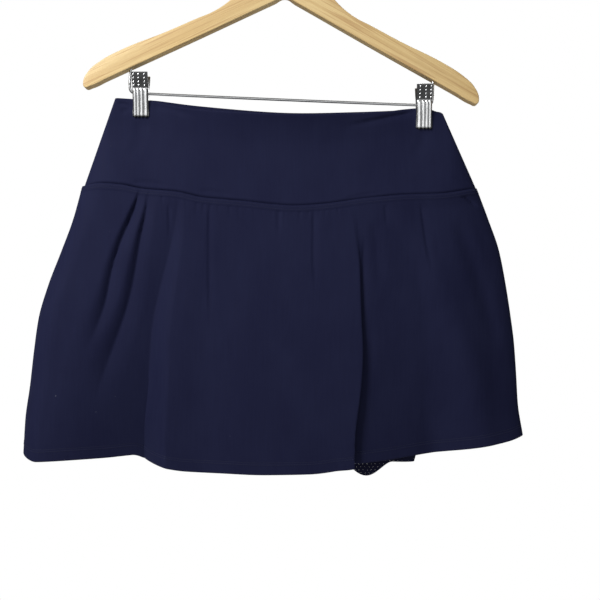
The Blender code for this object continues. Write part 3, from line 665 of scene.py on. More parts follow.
def cloth_mesh(name, points, faces, flat_uv=None, smooth_angle=60.0):
    """A piece from points in millimetres, with its flat UV map and its faces outwards."""
    made = bpy.data.meshes.new(name)
    made.from_pydata((np.reshape(points, (-1, 3)) * MM).tolist(), [], faces)
    made.update()
    if flat_uv is not None:
        layer = made.uv_layers.new(name="flat_cloth")
        corner = np.empty(len(made.loops), int)
        made.loops.foreach_get("vertex_index", corner)
        layer.data.foreach_set("uv", (np.reshape(flat_uv, (-1, 2)) * MM)[corner].ravel())
    thing = bpy.data.objects.new(name, made)
    bpy.context.scene.collection.objects.link(thing)
    bpy.ops.object.select_all(action="DESELECT")
    thing.select_set(True)
    return turned_outwards(thing, smooth_angle)


def wrapped(rows, columns):
    """Faces round a grid of points whose last row meets its first again."""
    index = np.arange(rows * columns).reshape(rows, columns)
    below = np.roll(index, -1, axis=0)
    quads = np.stack([index[:, :-1], index[:, 1:], below[:, 1:], below[:, :-1]], axis=-1)
    return index, quads.reshape(-1, 4).tolist()


def cloth_panel(name, outer, wall, facing, flat_uv, round_top=True, round_bottom=True):
    """A closed sheet of cloth from the grid of its outer face, in metres and with a UV map.

    wall is its thickness along each row, and an edge that is round is a rolled fold.
    """
    rows, columns = outer.shape[:2]
    normal = unit(np.cross(np.gradient(outer, axis=0), np.gradient(outer, axis=1)))
    if normal[rows // 2, columns // 2, 1] * facing < 0:
        normal = -normal
    normal[:, 0], normal[:, -1] = (-1, 0, 0), (1, 0, 0)
    wall = np.reshape(wall, (-1, 1, 1))
    inner = outer - normal * wall
    inner[..., 1] = facing * np.maximum(facing * inner[..., 1], GAP / 2)
    stack, uvs = [outer], [flat_uv]

    def rolled(edge, beyond):
        middle, half = (outer[edge] + inner[edge]) / 2, (outer[edge] - inner[edge]) / 2
        out = unit(outer[edge] - outer[beyond]) * np.linalg.norm(half, axis=1, keepdims=True)
        angles = np.radians((40, 90, 140))
        return [middle + half * math.cos(a) + out * math.sin(a) for a in angles]

    bottom = rolled(-1, -2) if round_bottom else []
    top = rolled(0, 1)[::-1] if round_top else []
    stack += [np.array([line]) for line in bottom] + [inner[::-1]]
    stack += [np.array([line]) for line in top]
    uvs += [flat_uv[-1:]] * len(bottom) + [flat_uv[::-1]] + [flat_uv[:1]] * len(top)
    points, uv = np.concatenate(stack), np.concatenate(uvs)
    around = len(points)
    index, quads = wrapped(around, columns)
    # The two side edges, row against row, from the outer face to the inner one.
    sides = []
    last = 2 * rows + len(bottom) - 1
    for j, flipped in ((0, False), (columns - 1, True)):
        for i in range(rows - 1):
            face = [index[i, j], index[i + 1, j], index[last - i - 1, j], index[last - i, j]]
            sides.append(face[::-1] if flipped else face)
        for band, ends in ((bottom, (rows - 1, rows + len(bottom))), (top, (last, around))):
            if band:
                sides.append([index[k % around, j] for k in range(ends[0], ends[1] + 1)])
    return cloth_mesh(name, points, quads + sides, uv), normal


def knit_group():
    """Weft-knit jersey on a flat UV map in metres: loops in wales, and uneven yarn."""
    group, came, gone = node_group("weft_knit", "UV", [], ["Loops", "Streaks", "Cloud", "Specks"])

    def scaled(x, y):
        node = group.nodes.new("ShaderNodeVectorMath")
        node.operation = "MULTIPLY"
        node.inputs[1].default_value = (x, y, 1.0)
        group.links.new(came.outputs["UV"], node.inputs[0])
        return node.outputs["Vector"]

    parts = group.nodes.new("ShaderNodeSeparateXYZ")
    group.links.new(scaled(1 / (WALE * MM), 1 / (COURSE * MM)), parts.inputs["Vector"])
    across = maths(group, "PINGPONG", parts.outputs["X"], 0.5)
    slant = maths(group, "MULTIPLY_ADD", across, 1.4, parts.outputs["Y"])
    course = maths(group, "PINGPONG", slant, 0.5)
    stem = maths(group, "MULTIPLY_ADD", across, 1.2, 0.4)
    head = maths(group, "MULTIPLY_ADD", course, 1.2, 0.4)
    loop = maths(group, "MULTIPLY", stem, head)
    group.links.new(loop, gone.inputs["Loops"])
    group.links.new(noise(group, scaled(520.0, 22.0), 1.0, 3.0, 0.6), gone.inputs["Streaks"])
    group.links.new(noise(group, scaled(17.0, 11.0), 1.0, 3.0, 0.55), gone.inputs["Cloud"])
    specks = noise(group, scaled(210.0, 190.0), 1.0, 1.0, 0.5)
    group.links.new(spread(group, specks, 0.80, 0.86, 0.0, 1.0), gone.inputs["Specks"])
    return group


weft_knit = knit_group()


def jersey_material(name, dark, light, lint):
    """Brushed navy jersey: matt, with a faint bloom, wale streaks and a little lint."""
    made, nodes, links, shader = blank_material(name, dark, 0.72)
    tree = made.node_tree
    flat = nodes.new("ShaderNodeUVMap")
    flat.uv_map = "flat_cloth"
    knit = nodes.new("ShaderNodeGroup")
    knit.node_tree = weft_knit
    links.new(flat.outputs["UV"], knit.inputs["UV"])
    cloud = spread(tree, knit.outputs["Cloud"], 0.3, 0.7, 0.0, 0.55)
    streak = spread(tree, knit.outputs["Streaks"], 0.3, 0.7, 0.0, 0.45)
    colour = mixed(tree, maths(tree, "ADD", cloud, streak), dark, light)
    # Painted shade: the cloth is coloured darker between the knitted loops.
    shaded = mixed(tree, maths(tree, "MULTIPLY", knit.outputs["Loops"], 0.35), DEEP_NAVY, colour)
    mixed_up = mixed(tree, 0.72, shaded, colour)
    speck = maths(tree, "MULTIPLY", knit.outputs["Specks"], lint)
    links.new(mixed(tree, speck, mixed_up, (0.16, 0.17, 0.22)), shader.inputs["Base Color"])
    matt = spread(tree, knit.outputs["Streaks"], 0.2, 0.8, 0.66, 0.80)
    links.new(matt, shader.inputs["Roughness"])
    height = maths(tree, "MULTIPLY_ADD", knit.outputs["Streaks"], 0.5, knit.outputs["Loops"])
    links.new(bump_normal(tree, height, 0.00010, 0.6), shader.inputs["Normal"])
    shader.inputs["Specular IOR Level"].default_value = 0.06
    shader.inputs["Sheen Weight"].default_value = 0.04
    shader.inputs["Sheen Roughness"].default_value = 0.45
    shader.inputs["Sheen Tint"].default_value = (0.40, 0.46, 0.85, 1.0)
    return made


def band_half(half, facing):
    """The outer face of half of the band, and its UV map."""
    first, last = clip_place("right")[0] + CLIP_WIDTH, clip_place("left")[0] - CLIP_WIDTH
    length = BAND_LENGTH
    levels = np.concatenate([
        np.linspace(0, 6, 6)[:-1], np.linspace(6, length - 6, 44)[:-1],
        np.linspace(length - 6, length, 8),
    ]) / length
    rows, uv = [], []
    for down in levels:
        left_x = between(WAIST_LEFT[0], SEAM_LEFT[0], down)
        width = between(WAIST_RIGHT[0], SEAM_RIGHT[0], down) - left_x
        deep, turn = at_level(BAND_DEPTH, ("deep", "turn"), down)
        s = crosswise(width, (turn, turn), BAND_TURNING, BAND_COLUMNS)
        across = s / width
        x = left_x + s
        z = between(
            edge_z(WAIST_LEFT, WAIST_RIGHT, WAIST_SAG[half], across) - BAND_CLOTH / 2,
            edge_z(SEAM_LEFT, SEAM_RIGHT, SEAM_SAG[half], across) + GAP / 2,
            down,
        )
        free = np.sin(math.pi * np.clip((x - first) / (last - first), 0, 1)) ** 2
        bulge = BAND_BULGE * (1 - down) ** 2.2 * free**0.6
        from_top, from_seam = down * length, (1 - down) * length
        bulge += LIP_ROLL * free**0.4 * np.clip(1 - from_top / LIP_REACH, 0, 1) ** 2
        rounded = quarter(s / turn) * quarter((width - s) / turn)
        depth = deep * rounded + bulge
        depth -= SEAM_ROLL * rounded * np.clip(1 - from_seam / SEAM_REACH, 0, 1) ** 2
        depth -= crease_depth(x, z, BAND_CREASES[half]) * np.minimum(rounded * 1.5, 1)
        rows.append(np.stack([x, facing * np.maximum(depth, GAP / 2), z], axis=1))
        uv.append(np.stack([s - width / 2, np.full_like(s, -from_top)], axis=1))
    return np.array(rows), np.array(uv)


jersey = jersey_material("navy_jersey", NAVY, SOFT_NAVY, 0.5)
for half, facing in (("front", -1), ("back", 1)):
    grid, flat_uv = band_half(half, facing)
    walls = np.full(len(grid), BAND_CLOTH)
    piece, normals = cloth_panel(
        f"waistband_{half}_cloth", grid, walls, facing, flat_uv, round_bottom=False
    )
    finish_piece(piece, jersey, "navy_jersey", f"waistband_{half}")
    # The overlocked turnings, which lie flat inside across the seam.
    seam_z = grid[-1, :, 2]
    strip, strip_uv = [], []
    for above in np.linspace(TURNINGS_UP, -TURNINGS_DOWN, 7):
        x = grid[-1, :, 0] * TURNINGS_SHARE + (1 - TURNINGS_SHARE) * grid[-1, :, 0].mean()
        y = facing * np.maximum(np.abs(grid[-1, :, 1]) - TURNINGS_IN, GAP / 2)
        strip.append(np.stack([x, y, seam_z + above], axis=1))
        strip_uv.append(np.stack([x, np.full_like(x, above)], axis=1))
    strip = np.array(strip)
    turning, _ = cloth_panel(
        f"{half}_seam_turnings", strip, np.full(len(strip), TURNINGS_CLOTH), facing,
        np.array(strip_uv),
    )
    finish_piece(turning, jersey, "navy_jersey")

# --- Skirt ---------------------------------------------------------------------------
# A front and a back of the same jersey, single, joined at the sides and sewn to the
# band. The front is eased in with small gathers and tucks, and one fold laps over.
SKIRT_CLOTH, HEM_CLOTH, HEM_TURN = 1.0, 1.8, 11.0
HEM_LEFT, HEM_RIGHT = (-297.0, -613.5), (263.5, -596.5)
SIDES = (
    ("down", "left_x", "right_x"), (0.000, -233.0, 211.5), (0.125, -243.0, 224.5),
    (0.250, -256.5, 236.5), (0.375, -270.5, 243.5), (0.500, -281.0, 249.0),
    (0.625, -286.0, 253.5), (0.750, -290.0, 256.0), (0.875, -295.0, 258.0),
    (1.000, -297.0, 263.5),
)
HEM_SAG = {
    "front": (
        ("across", "rise"),
        (0.00, 0.0), (0.04, -7.4), (0.10, -7.4), (0.17, -7.6), (0.22, -7.0),
        (0.25, -13.3), (0.28, -17.4), (0.33, -22.9), (0.41, -26.5), (0.49, -29.2),
        (0.57, -29.8), (0.63, -26.8), (0.66, -22.6), (0.73, -19.7), (0.78, -16.9),
        (0.87, -12.6), (0.92, -9.2), (0.97, -4.8), (1.00, 0.0),
    ),
    "back": (
        ("across", "rise"),
        (0.00, 0.0), (0.06, -6.0), (0.18, -6.5), (0.27, -13.0), (0.42, -20.0),
        (0.55, -18.5), (0.66, -21.0), (0.78, -14.0), (0.90, -8.5), (1.00, 0.0),
    ),
}
SKIRT_DEPTH = (
    ("down", "front", "back", "left_turn", "right_turn"),
    (0.00, 14.0, 14.0, 30.0, 40.0), (0.10, 17.5, 17.5, 28.0, 50.0),
    (0.30, 24.5, 22.0, 27.0, 75.0), (0.60, 34.0, 27.0, 27.0, 100.0),
    (1.00, 41.0, 30.0, 27.0, 110.0),
)
# Folds that open towards the hem: where each is across the panel, how deep it goes in
# and how far it reaches towards -X, each at the seam, halfway and at the hem; then its
# reach towards +X as a share of that, and how sharp its bottom is, from 0 to 1.
FOLDS = {
    "front": (
        ((0.250, 0.246, 0.242), (0.0, 13.5, 31.5), (24.0, 80.0, 106.0), 0.27, 0.85),
        ((0.692, 0.692, 0.663), (0.0, 5.5, 9.5), (9.0, 12.0, 13.0), 5.5, 0.0),
        ((0.800, 0.812, 0.820), (0.0, 7.5, 23.0), (36.0, 66.0, 86.0), 0.75, 0.35),
        ((0.790, 0.872, 0.943), (-1.0, -3.0, 0.0), (18.0, 25.0, 28.0), 1.0, 0.2),
        ((1.000, 1.000, 1.000), (2.0, 9.0, 14.0), (150.0, 210.0, 260.0), 1.0, 0.0),
        ((0.370, 0.365, 0.360), (0.0, 1.6, 3.0), (20.0, 34.0, 44.0), 1.2, 0.0),
    ),
    "back": (
        ((0.110, 0.120, 0.130), (4.0, 4.0, 3.0), (9.0, 17.0, 28.0), 1.0, 0.0),
        ((0.270, 0.255, 0.240), (2.0, 6.0, 15.0), (12.0, 30.0, 42.0), 0.7, 0.2),
        ((0.470, 0.480, 0.500), (2.5, 5.0, 11.0), (10.0, 26.0, 40.0), 1.2, 0.1),
        ((0.690, 0.700, 0.710), (2.0, 7.0, 15.0), (12.0, 28.0, 40.0), 0.8, 0.2),
        ((0.860, 0.855, 0.850), (3.5, 3.0, 2.0), (9.0, 16.0, 24.0), 1.0, 0.0),
    ),
}
SKIRT_LENGTH, SKIRT_TURNING = 290.0, 18
SEAM_HOLD = 0.06  # the share of the skirt's length in which the seam holds folds flat
PLEAT_ACROSS = (0.680, 0.682, 0.651)
PLEAT_OVERLAP = (0.0, 5.5, 9.5)
PLEAT_HALF_WIDTH, PLEAT_LAP = 17.0, 1.3
SKIRT_CREASES = {
    "front": (
        # the two long folds near the wearer's right side
        (((-166.0, -320.0), (-169.5, -333.0), (-176.0, -351.0), (-186.5, -378.0),
          (-196.0, -411.0), (-202.0, -444.0), (-211.5, -475.0), (-226.0, -506.0)),
         5.4, (2.5, 18.0), (13.0, 26.0), 0.0),
        (((-156.0, -322.0), (-158.0, -338.0), (-165.5, -378.0), (-170.5, -411.0),
          (-177.0, -444.0), (-191.0, -488.0), (-206.0, -532.0), (-216.0, -570.0)),
         4.6, (2.2, 24.0), (11.0, 28.0), 0.15),
        # tucks that fade downwards
        (((-134.1, -336.7), (-133.6, -353.5), (-132.4, -379.2)), 0.9, 2.2, 6.0, 0.2),
        (((-88.5, -334.0), (-89.0, -360.0), (-88.5, -410.0), (-87.0, -480.0)),
         1.2, 2.4, 10.0, 0.1),
        (((-13.6, -342.6), (-12.6, -357.4), (-11.6, -373.2)), 0.6, 2.5, 5.0, 0.5),
        (((27.3, -340.0), (26.8, -362.0), (26.7, -394.0), (29.5, -442.0)), 1.1, 2.4, 10.0, 0.1),
        (((146.0, -334.5), (149.2, -359.0), (152.4, -383.0), (160.0, -420.0)),
         1.3, 2.4, 10.0, 0.1),
        (((106.5, -337.6), (107.5, -349.5), (108.4, -363.4)), 0.8, 2.5, 5.0, 0.4),
        (((193.3, -328.2), (201.1, -332.7), (210.9, -340.6)), 2.6, 3.0, 4.0, 0.1),
        # soft hollows in the left front
        (((186.0, -352.0), (203.0, -396.0), (220.0, -452.0), (236.0, -510.0)),
         2.6, 13.0, 14.0, 0.8),
        (((94.7, -353.5), (97.4, -393.0), (101.1, -440.1)), 1.0, 8.0, 12.0, 0.8),
        (((84.7, -373.2), (85.1, -430.3), (82.3, -486.9)), 1.2, 3.0, 8.0, 0.2),
    ),
    "back": (
        (((-186.0, -328.0), (-192.0, -362.0), (-203.0, -404.0), (-214.0, -448.0)),
         4.0, 9.0, 4.5, 0.1),
        (((-112.0, -330.0), (-113.0, -352.0), (-114.0, -388.0)), 1.6, 2.0, 7.0, 0.1),
        (((-42.0, -334.0), (-41.0, -362.0), (-38.0, -404.0)), 1.4, 7.0, 2.2, 0.1),
        (((38.0, -336.0), (39.0, -356.0), (41.0, -392.0)), 1.6, 2.2, 7.0, 0.1),
        (((118.0, -330.0), (119.0, -358.0), (122.0, -398.0)), 1.5, 2.2, 7.0, 0.1),
        (((176.0, -328.0), (186.0, -366.0), (203.0, -418.0), (220.0, -478.0)),
         4.5, 5.0, 10.0, 0.2),
        (((-70.0, -420.0), (-66.0, -480.0), (-60.0, -560.0)), 2.0, 18.0, 22.0, 1.0),
        (((78.0, -430.0), (80.0, -500.0), (86.0, -580.0)), 2.2, 20.0, 22.0, 1.0),
    ),
}
GATHERS = {"front": (-158.0, 68.0), "back": (-120.0, 120.0)}
WELT_RISE, WELT_DOWN = 0.45, 6.6  # the seam's turnings raise the cloth just below it
HEM_RISE = 0.35


def at_three(values, down):
    """A value told at the top, the middle and the bottom, at any share of the way down."""
    return float(smooth((0.0, 0.5, 1.0), values, down))


def bump_shape(distance, reach_back, reach_on, sharp=0.0):
    """1 in the middle of a fold and 0 at its reach on either side."""
    share = np.clip(np.abs(distance) / np.where(distance < 0, reach_back, reach_on), 0, 1)
    return between((1 - share**2) ** 2, (1 - share) ** 1.5, sharp)


def fold_depth(folds, across, width, down):
    """How far all the folds push the cloth in at one level."""
    total = np.zeros_like(across)
    for place, depth, reach, skew, sharp in folds:
        here = at_three(reach, down)
        distance = (across - at_three(place, down)) * width
        total += at_three(depth, down) * bump_shape(distance, here, here * skew, sharp)
    held = np.clip(down / SEAM_HOLD, 0, 1)
    return total * held * held * (3 - 2 * held)


def gathered(x, from_seam, first, last, seed):
    """Small uneven puckers where the eased cloth meets the seam."""
    drawn = random.Random(seed)
    total, place = np.zeros_like(x), first
    while place < last:
        depth, long = drawn.uniform(0.3, 1.1), drawn.uniform(4.0, 17.0)
        lean, half = drawn.uniform(-0.12, 0.12), drawn.uniform(1.5, 2.8)
        share = np.clip(np.abs(x - place - lean * from_seam) / half, 0, 1)
        begins = np.clip((from_seam - WELT_DOWN) / 1.2, 0, 1)
        fade = begins * np.clip(1 - from_seam / (WELT_DOWN + long), 0, 1)
        total += depth * fade * (1 - share**2) ** 2
        place += drawn.uniform(5.0, 12.5)
    return total


def skirt_half(half, facing, columns):
    """The outer face of half of the skirt, its UV map, and its cloth's thickness by row."""
    length = SKIRT_LENGTH
    from_top = np.concatenate([
        np.linspace(0, 10, 14)[:-1], np.linspace(10, 28, 14)[:-1],
        np.linspace(28, length - 16, 72)[:-1], np.linspace(length - 16, length, 15),
    ])
    rows, uv = [], []
    for below in from_top:
        down = below / length
        left_x, right_x = at_level(SIDES, ("left_x", "right_x"), down)
        width = right_x - left_x
        deep, *turns = at_level(SKIRT_DEPTH, (half, "left_turn", "right_turn"), down)
        s = crosswise(width, turns, SKIRT_TURNING, columns)
        across = s / width
        z = between(
            edge_z(SEAM_LEFT, SEAM_RIGHT, SEAM_SAG[half], across) - GAP / 2,
            edge_z(HEM_LEFT, HEM_RIGHT, HEM_SAG[half], across) + HEM_CLOTH / 2,
            down,
        )
        x = left_x + s
        rounded = quarter(s / turns[0]) * quarter((width - s) / turns[1])
        eased = np.minimum(rounded * 1.5, 1)
        pushed = fold_depth(FOLDS[half], across, width, down)
        pushed = pushed + crease_depth(x, z, SKIRT_CREASES[half])
        pushed = pushed + gathered(x, below, *GATHERS[half], seed=3 if facing < 0 else 8)
        raised = WELT_RISE * (1 - ramp(below, WELT_DOWN - 0.4, WELT_DOWN + 0.9))
        raised += HEM_RISE * ramp(below, length - HEM_TURN - 0.6, length - HEM_TURN + 0.6)
        raised -= SEAM_ROLL * np.clip(1 - below / SEAM_REACH, 0, 1) ** 2
        depth = deep * rounded + (raised - pushed) * eased
        if half == "front":
            w = np.clip((across - at_three(PLEAT_ACROSS, down)) * width / PLEAT_HALF_WIDTH, -1, 1)
            lap = PLEAT_LAP * max(at_three(PLEAT_OVERLAP, down), 0.0)
            x = x - lap * np.sin(math.pi * w) * (1 - w**2)
        rows.append(np.stack([x, facing * np.maximum(depth, GAP / 2), z], axis=1))
        uv.append(np.stack([s - width / 2, np.full_like(s, -below)], axis=1))
    walls = np.where(from_top > length - HEM_TURN, HEM_CLOTH, SKIRT_CLOTH)
    return np.array(rows), np.array(uv), walls


def run_along(grid, normals, distance, from_hem=False):
    """The line on a panel at a set distance from its top edge or hem, and its normals."""
    if from_hem:
        grid, normals = grid[::-1], normals[::-1]
    steps = np.linalg.norm(np.diff(grid, axis=0), axis=2)
    done = np.concatenate([np.zeros((1, grid.shape[1])), np.cumsum(steps, axis=0)])
    line, up = [], []
    for j in range(grid.shape[1]):
        line.append([np.interp(distance, done[:, j], grid[:, j, k]) for k in range(3)])
        up.append([np.interp(distance, done[:, j], normals[:, j, k]) for k in range(3)])
    return np.array(line), unit(np.array(up))


STITCH_FROM, STITCH_PITCH, STITCH_LONG = 1.5, 2.9, 2.25
THREAD_R, THREAD_FLAT, THREAD_LIFT = 0.30, 0.75, 0.10
SEAM_ROWS, HEM_ROWS = (2.9, 5.7), (10.0, 12.4)
# A stitch is a short bead of thread: (place along it from -1 to 1, share of its radius).
BEAD = ((-1.0, 0.15), (-0.72, 0.8), (0.0, 1.0), (0.72, 0.8), (1.0, 0.15))


def stitches(name, lines, colour_material):
    """Rows of thread beads lying on the cloth, as one piece."""
    points, faces = [], []

    def at(distance, done, values):
        return np.array([np.interp(distance, done, values[:, k]) for k in range(3)])

    for line, up in lines:
        steps = np.linalg.norm(np.diff(line, axis=0), axis=1)
        done = np.concatenate([[0], np.cumsum(steps)])
        for start in np.arange(STITCH_FROM, done[-1] - STITCH_PITCH, STITCH_PITCH):
            centre = at(start + STITCH_LONG / 2, done, line)
            raised = unit(at(start + STITCH_LONG / 2, done, up))
            along = (at(start + STITCH_LONG, done, line) - at(start, done, line)) / 2
            across = unit(np.cross(along, raised))
            base = len(points)
            for place, share in BEAD:
                on_cloth = centre + along * place + raised * THREAD_LIFT
                for corner in range(6):
                    angle = math.pi * corner / 3
                    round_it = math.cos(angle) * raised * THREAD_FLAT + math.sin(angle) * across
                    points.append(on_cloth + round_it * THREAD_R * share)
            for ring in range(len(BEAD) - 1):
                for corner in range(6):
                    a, b = base + ring * 6 + corner, base + ring * 6 + (corner + 1) % 6
                    faces.append((a, b, b + 6, a + 6))
            faces.append(tuple(base + k for k in range(5, -1, -1)))
            faces.append(tuple(base + (len(BEAD) - 1) * 6 + k for k in range(6)))
    thing = cloth_mesh(name, points, faces, smooth_angle=180.0)
    return finish_piece(thing, colour_material, "navy_jersey")


def thread_material():
    """Navy polyester thread, a little glossier than the cloth."""
    made, nodes, links, shader = blank_material("navy_thread", (0.018, 0.020, 0.052), 0.5)
    place = nodes.new("ShaderNodeTexCoord")
    fuzz = noise(made.node_tree, place.outputs["Object"], 900.0, 2.0)
    strands = mixed(made.node_tree, fuzz, (0.012, 0.014, 0.040), (0.021, 0.024, 0.060))
    links.new(strands, shader.inputs["Base Color"])
    links.new(spread(made.node_tree, fuzz, 0.3, 0.7, 0.42, 0.62), shader.inputs["Roughness"])
    links.new(bump_normal(made.node_tree, fuzz, 0.00005), shader.inputs["Normal"])
    shader.inputs["Specular IOR Level"].default_value = 0.2
    return made


thread = thread_material()
for half, facing, columns in (("front", -1, 290), ("back", 1, 230)):
    grid, flat_uv, walls = skirt_half(half, facing, columns)
    piece, normals = cloth_panel(
        f"skirt_{half}_cloth", grid, walls, facing, flat_uv, round_top=False
    )
    finish_piece(piece, jersey, "navy_jersey", f"skirt_{half}")
    rows = [run_along(grid, normals, d) for d in SEAM_ROWS]
    seam_rows = stitches(f"{half}_seam_stitching", rows, thread)
    rows = [run_along(grid, normals, d, from_hem=True) for d in HEM_ROWS]
    hem_rows = stitches(f"{half}_hem_stitching", rows, thread)

# --- Built-in short ------------------------------------------------------------------
# A short in a fine perforated mesh, hung from the same seam inside the skirt. Only the
# front of its left leg shows, where its edge waves below the skirt's hem.
SHORT_CLOTH = 1.0
CROTCH_DOWN, CROTCH_CURVE = 0.60, 0.16
LEGS = (
    ("down", "right_outer", "right_inner", "left_inner", "left_outer", "depth", "turn"),
    (0.00, -224.5, -10.0, -10.0, 204.5, 9.3, 36.0),
    (0.06, -224.0, -10.0, -10.0, 204.0, 9.0, 30.0),
    (0.35, -216.0, -10.0, -10.0, 196.0, 9.5, 26.0),
    (0.60, -196.0, -10.0, -10.0, 176.0, 11.0, 24.0),
    (1.00, -164.0, -22.0, 4.0, 141.0, 9.0, 20.0),
)
LEG_HEMS = {
    "right": {"outer_z": -612.0, "inner_z": -624.0, "wave": 0.0},
    "left": {"outer_z": -626.0, "inner_z": -622.0, "wave": 16.5},
}
LEG_WAVE_AT, LEG_WAVE_REACH = 86.0, 30.0
HOLE_APART, HOLE_ROWS, HOLE_R = 4.6, 3.4, 0.22  # staggered holes knitted in the mesh
RIM_PAINTED_HIGHLIGHT = (0.050, 0.054, 0.092)  # a painted highlight on the tight loops round each hole


def leg_half(which, facing, steps):
    """Half of a leg, front or back, from its inner edge to its side, and its UV map."""
    hem, half = LEG_HEMS[which], "front" if facing < 0 else "back"
    shares = 0.5 - 0.5 * np.cos(np.linspace(0, math.pi, steps))
    rows, uv = [], []
    for down in np.linspace(0, 1, 64):
        outer_x, inner_x, deep, turn = at_level(
            LEGS, (f"{which}_outer", f"{which}_inner", "depth", "turn"), down
        )
        inner_x += math.copysign(GAP / 2, outer_x - inner_x)
        x = between(inner_x, outer_x, shares)
        from_outer, from_inner = np.abs(outer_x - x), np.abs(x - inner_x)
        joined = float(np.clip((CROTCH_DOWN - down) / CROTCH_CURVE, 0, 1))
        opening = math.sqrt(1 - (1 - joined) ** 2)
        cap = between(quarter(from_inner / turn), 1.0, opening)
        y = np.maximum(deep * quarter(from_outer / turn) * cap, GAP / 2)
        seam = (x - SEAM_LEFT[0]) / (SEAM_RIGHT[0] - SEAM_LEFT[0])
        top_z = edge_z(SEAM_LEFT, SEAM_RIGHT, SEAM_SAG[half], seam) - GAP / 2 - 0.5
        hem_z = between(hem["inner_z"], hem["outer_z"], shares) + SHORT_CLOTH / 2
        if facing < 0:
            wave = bump_shape(x - LEG_WAVE_AT, LEG_WAVE_REACH, LEG_WAVE_REACH)
            hem_z = hem_z - hem["wave"] * wave
        rows.append(np.stack([x, facing * y, between(top_z, hem_z, down)], axis=1))
        uv.append(np.stack([x, between(top_z, hem_z, down)], axis=1))
    return np.array(rows), np.array(uv)


def mesh_material():
    """Navy power mesh: a smooth knit pierced by staggered rows of small round holes, painted
    darker than the jersey as shade, with a painted highlight round each hole.
    """
    made, nodes, links, shader = blank_material("navy_power_mesh", NAVY, 0.6)
    tree = made.node_tree
    flat = nodes.new("ShaderNodeUVMap")
    flat.uv_map = "flat_cloth"
    parts = nodes.new("ShaderNodeSeparateXYZ")
    links.new(flat.outputs["UV"], parts.inputs["Vector"])
    row = maths(tree, "DIVIDE", parts.outputs["Y"], HOLE_ROWS * MM)
    odd = maths(tree, "MODULO", maths(tree, "ABSOLUTE", maths(tree, "FLOOR", row)), 2.0)
    across = maths(tree, "DIVIDE", parts.outputs["X"], HOLE_APART * MM)
    across = maths(tree, "FRACT", maths(tree, "MULTIPLY_ADD", odd, 0.5, across))
    dx = maths(tree, "MULTIPLY", maths(tree, "SUBTRACT", across, 0.5), HOLE_APART)
    dy = maths(tree, "SUBTRACT", maths(tree, "FRACT", row), 0.5)
    dy = maths(tree, "MULTIPLY", dy, HOLE_ROWS)
    away = maths(tree, "MULTIPLY_ADD", dx, dx, maths(tree, "MULTIPLY", dy, dy))
    away = maths(tree, "SQRT", away)
    solid = spread(tree, away, HOLE_R - 0.06, HOLE_R + 0.06, 0.0, 1.0)
    links.new(solid, shader.inputs["Alpha"])
    # Painted highlight: the colour lightens towards RIM_PAINTED_HIGHLIGHT close to each hole.
    rim = spread(tree, away, HOLE_R, HOLE_R + 0.35, 1.0, 0.0)
    # Painted shade: the mesh's base is DEEP_NAVY, darker than the jersey, for the leg hanging in
    # the skirt's shadow.
    links.new(mixed(tree, rim, DEEP_NAVY, RIM_PAINTED_HIGHLIGHT), shader.inputs["Base Color"])
    links.new(spread(tree, rim, 0.0, 1.0, 0.66, 0.5), shader.inputs["Roughness"])
    dimpled = bump_normal(tree, maths(tree, "SUBTRACT", 1.0, rim), 0.0002)
    links.new(dimpled, shader.inputs["Normal"])
    shader.inputs["Specular IOR Level"].default_value = 0.1
    return made


power_mesh = mesh_material()
for which in ("right", "left"):
    halves = [leg_half(which, facing, 100) for facing in (-1, 1)]
    front, back = halves[0][0], halves[1][0]
    front[:, -1, 1] = back[:, -1, 1] = 0.0
    grid = np.concatenate([front, back[:, -2::-1]], axis=1)
    flat_uv = np.concatenate([halves[0][1], halves[1][1][:, -2::-1]], axis=1)
    rows, columns = grid.shape[:2]
    normal = unit(np.cross(np.gradient(grid, axis=0), np.gradient(grid, axis=1)))
    if normal[rows // 2, columns // 4, 1] > 0:
        normal = -normal
    normal[:, (0, -1), 0] = 0
    inner = grid - SHORT_CLOTH * unit(normal)
    signs = np.where(np.arange(columns) < columns // 2, -1, 1)
    inner[..., 1] = signs * np.maximum(signs * inner[..., 1], 0.05)
    points = np.concatenate([grid, inner[::-1]])
    uv = np.concatenate([flat_uv, flat_uv[::-1]])
    index, quads = wrapped(2 * rows, columns)
    sides = [
        [index[i, j], index[i + 1, j], index[2 * rows - 2 - i, j], index[2 * rows - 1 - i, j]]
        for j in (0, columns - 1) for i in range(rows - 1)
    ]
    leg = cloth_mesh(f"short_leg_{which}_mesh", points, quads + sides, uv)
    finish_piece(leg, power_mesh, "navy_mesh", f"short_leg_{which}")

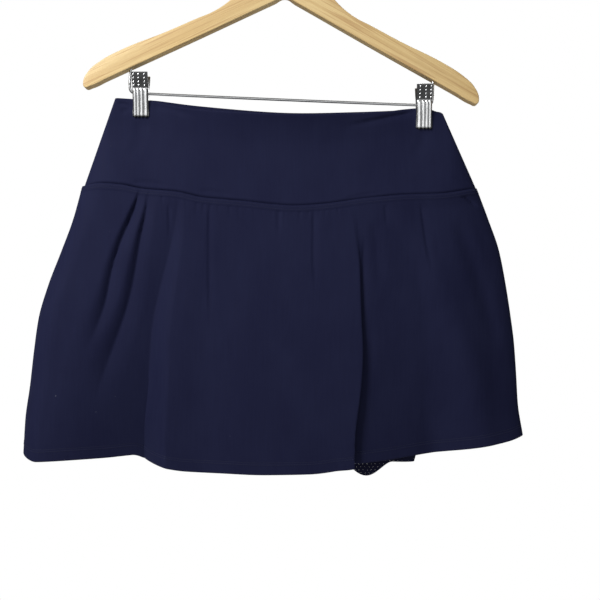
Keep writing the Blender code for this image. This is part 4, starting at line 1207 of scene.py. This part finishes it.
# --- Floor, light and camera ---------------------------------------------------------
# A pale studio: a white surround, a large soft key from the upper left of the front, a
# weaker fill, and the camera straight on at the height of the garment's middle.
# These sizes are in metres.
FLOOR_Z, FLOOR_R = -1.75, 2.2
GARMENT_Z = -0.42
CAMERA_AT, LENS, SENSOR = (0.0124, -1.100, -0.4441), 58.56, 36.0
bpy.ops.mesh.primitive_circle_add(
    vertices=96, radius=FLOOR_R, fill_type="NGON", location=(0, 0, FLOOR_Z)
)
floor = bpy.context.object
floor.name = "studio_floor"
pale, _, _, pale_shader = blank_material("pale_floor", (0.82, 0.82, 0.81), 0.8)
pale_shader.inputs["Emission Color"].default_value = (1.0, 1.0, 1.0, 1.0)
pale_shader.inputs["Emission Strength"].default_value = 0.18
floor.data.materials.append(pale)


def soft_light(name, place, wide, high, power, beam=180.0, aim_x=0.0):
    """An area light aimed at the middle of the garment, or beside it."""
    bpy.ops.object.light_add(type="AREA", location=place)
    lamp = bpy.context.object
    lamp.name = name
    lamp.data.shape = "RECTANGLE"
    lamp.data.size, lamp.data.size_y, lamp.data.energy = wide, high, power
    lamp.data.spread = math.radians(beam)
    aim = Vector((aim_x, 0.0, GARMENT_Z)) - Vector(place)
    lamp.rotation_euler = aim.to_track_quat("-Z", "Y").to_euler()


soft_light("key_light", (-0.90, -0.92, 0.42), 0.6, 0.6, 8.2, beam=110.0, aim_x=-0.12)
soft_light("front_light", (0.1, -2.6, 0.0), 1.7, 2.1, 11.5)
soft_light("back_light", (0.9, 1.9, 0.7), 1.4, 1.4, 24.0)

world = bpy.data.worlds.new("white_surround")
world.use_nodes = True
bpy.context.scene.world = world
sky = world.node_tree
backdrop = sky.nodes["Background"]
path = sky.nodes.new("ShaderNodeLightPath")
glow = maths(sky, "MULTIPLY_ADD", path.outputs["Is Camera Ray"], 0.86, 0.14)
sky.links.new(glow, backdrop.inputs["Strength"])
backdrop.inputs["Color"].default_value = (1.0, 1.0, 1.0, 1.0)
bpy.context.scene.view_settings.view_transform = "Standard"

bpy.ops.object.camera_add(location=CAMERA_AT, rotation=(math.pi / 2, 0, 0))
camera = bpy.context.object
camera.data.lens, camera.data.sensor_width = LENS, SENSOR
camera.data.clip_start = 0.05
bpy.context.scene.camera = camera
